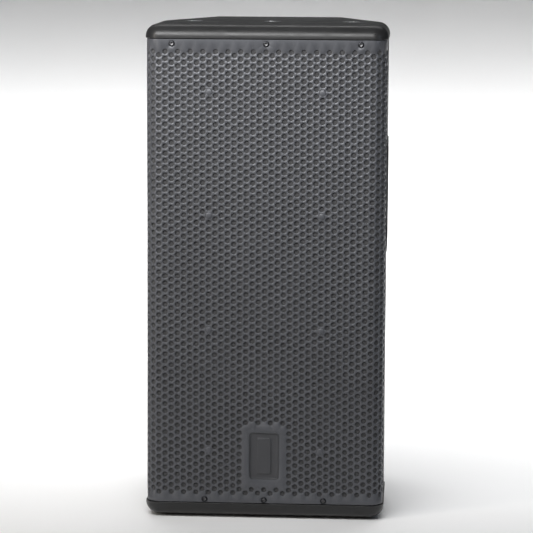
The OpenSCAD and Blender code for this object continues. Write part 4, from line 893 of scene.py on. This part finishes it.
def make_panel_print(materials):
    """Plain ticks round the level knobs and fine frames round the groups of connectors."""
    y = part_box("amp_panel")[1].y
    parts = []
    for node in ("level_knob_left", "level_knob_right"):
        low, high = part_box(node)
        x, z = (low.x + high.x) / 2, (low.z + high.z) / 2
        for i in range(11):
            a = math.radians(-60 + 30 * i)
            reach = 12.5 * MM if i % 5 == 0 else 11.6 * MM
            dx, dz = heading(a)
            start = (x + 10 * MM * dx, z + 10 * MM * dz)
            parts.append(flat_bar(start, (x + reach * dx, z + reach * dz), 0.5 * MM, y))
    for low_z, high_z in ((289, 331), (245, 282)):
        corners = [(-60, low_z), (60, low_z), (60, high_z), (-60, high_z)]
        for i in range(4):
            (x0, z0), (x1, z1) = corners[i], corners[(i + 1) % 4]
            parts.append(flat_bar((x0 * MM, z0 * MM), (x1 * MM, z1 * MM), 0.4 * MM, y))
    points, faces = merge(parts)
    add_piece("panel_ticks", points, faces, [materials["panel_print"]], "cabinet")


# ---------------------------------------------------------------- CAD nodes that stay


def finish_nodes(materials):
    """Gives every CAD node that still shows its slot's surface, smooth curves and softened edges."""
    slots = {part["node"]: part["material_slot"] for part in frame["record"]["subparts"]}
    softened = {
        "cabinet_shell": 0.8, "handle_left": 0.7, "handle_right": 0.7, "amp_panel": 0.3, "heatsink": 0.25,
        "input_jacks": 0.3, "link_output": 0.3, "mains_inlet": 0.3, "power_switch": 0.3, "power_rocker": 0.35,
        "mode_button": 0.4, "latch_left": 0.3, "latch_right": 0.3, "rubber_feet": 0.6, "pole_socket": 0.4,
        "level_knob_left": 0.25, "level_knob_right": 0.25,
    }
    for name, node in frame["nodes"].items():
        node.data.materials.clear()
        node.data.materials.append(materials[slots[name]])
        node.data.shade_smooth()
        if name in softened:
            weld = node.modifiers.new("weld", "WELD")
            weld.merge_threshold = 0.001 * MM
            bevel = node.modifiers.new("edge", "BEVEL")
            bevel.width, bevel.segments, bevel.limit_method = softened[name] * MM, 2, "ANGLE"
            bevel.angle_limit = math.radians(40)
            bevel.harden_normals = True


# ---------------------------------------------------------------- light and camera


def add_area(name, place, target, size, power, colour=(1, 1, 1)):
    light = bpy.data.lights.new(name, "AREA")
    light.shape, light.size, light.size_y = "RECTANGLE", size[0], size[1]
    light.energy, light.color = power, colour
    lamp = bpy.data.objects.new(name, light)
    bpy.context.scene.collection.objects.link(lamp)
    lamp.location = place
    lamp.rotation_euler = (Vector(target) - Vector(place)).to_track_quat("-Z", "Y").to_euler()
    return lamp


def make_room():
    """A pale floor that curves up behind the cabinet."""
    surface = Surface("pale_floor", (0.90, 0.90, 0.90), 0.85)
    surface.tint(surface.noise(3, 3), 0.3, 0.7, 0.99, 1.01)
    half, run, curve, turn = 9.0, 4.0, 2.0, math.radians(60)
    bend = [turn * i / 14 for i in range(15)]
    profile = [(-8.0, 0.0)] + [(run + curve * math.sin(a), curve * (1 - math.cos(a))) for a in bend]
    points = [(x, y, z) for y, z in profile for x in (-half, half)]
    faces = [(2 * i, 2 * i + 1, 2 * i + 3, 2 * i + 2) for i in range(len(profile) - 1)]
    mesh = bpy.data.meshes.new("room")
    mesh.from_pydata(points, [], faces)
    mesh.materials.append(surface.material)
    mesh.shade_smooth()
    room = bpy.data.objects.new("room", mesh)
    bpy.context.scene.collection.objects.link(room)


def make_light():
    """A large soft key above the front, a strip at each side, and light on the floor behind."""
    world = bpy.data.worlds.new("studio")
    bpy.context.scene.world = world
    world.use_nodes = True
    world.node_tree.nodes["Background"].inputs["Color"].default_value = (0.95, 0.97, 1.0, 1)
    world.node_tree.nodes["Background"].inputs["Strength"].default_value = 0.07
    key = add_area("key_above_front", (-0.20, -0.88, 1.02), (0, -0.17, 0.56), (0.95, 0.30), 4.6)
    key.data.spread = math.radians(100)
    add_area("strip_left", (-1.05, -0.98, 0.75), (-0.16, -0.17, 0.45), (0.07, 1.1), 5.5, (1.0, 0.94, 0.86))
    add_area("strip_right", (1.15, -1.0, 0.80), (0.16, -0.17, 0.45), (0.05, 0.8), 1.0, (0.72, 0.84, 1.0))
    washes = (("floor_far", 3.4, (5.0, 2.6), 110), ("floor_near", 1.15, (3.2, 0.9), 34))
    for name, y, size, power in washes:
        lamp = add_area(name, (0, y, 2.0), (0, y, 0), size, power)
        lamp.data.spread = math.radians(95)


def make_camera():
    """The photo's own view, a little above and to the right of the front."""
    data = bpy.data.cameras.new("camera")
    data.sensor_width, data.lens = 36.0, 166.67
    data.clip_start, data.clip_end = 0.05, 60.0
    camera = bpy.data.objects.new("camera", data)
    bpy.context.scene.collection.objects.link(camera)
    ahead = Vector((-0.06182, 0.98894, -0.13482)).normalized()
    above = Vector((-0.01378, 0.13422, 0.99086))
    right = ahead.cross(above).normalized()
    above = right.cross(ahead)
    turn = Matrix((right, above, -ahead)).transposed().to_4x4()
    camera.matrix_world = Matrix.Translation((0.2128, -3.5421, 0.8163)) @ turn
    bpy.context.scene.camera = camera


surfaces = build_materials()
finish_nodes(surfaces)
make_caps(surfaces)
make_grille(surfaces)
make_foam(surfaces)
make_front_fasteners(surfaces)
make_badge(surfaces)
make_fly_points(surfaces)
make_wadding(surfaces)
make_rolls(surfaces)
make_panel_print(surfaces)
make_room()
make_light()
make_camera()
bpy.context.scene.view_settings.view_transform = "Standard"
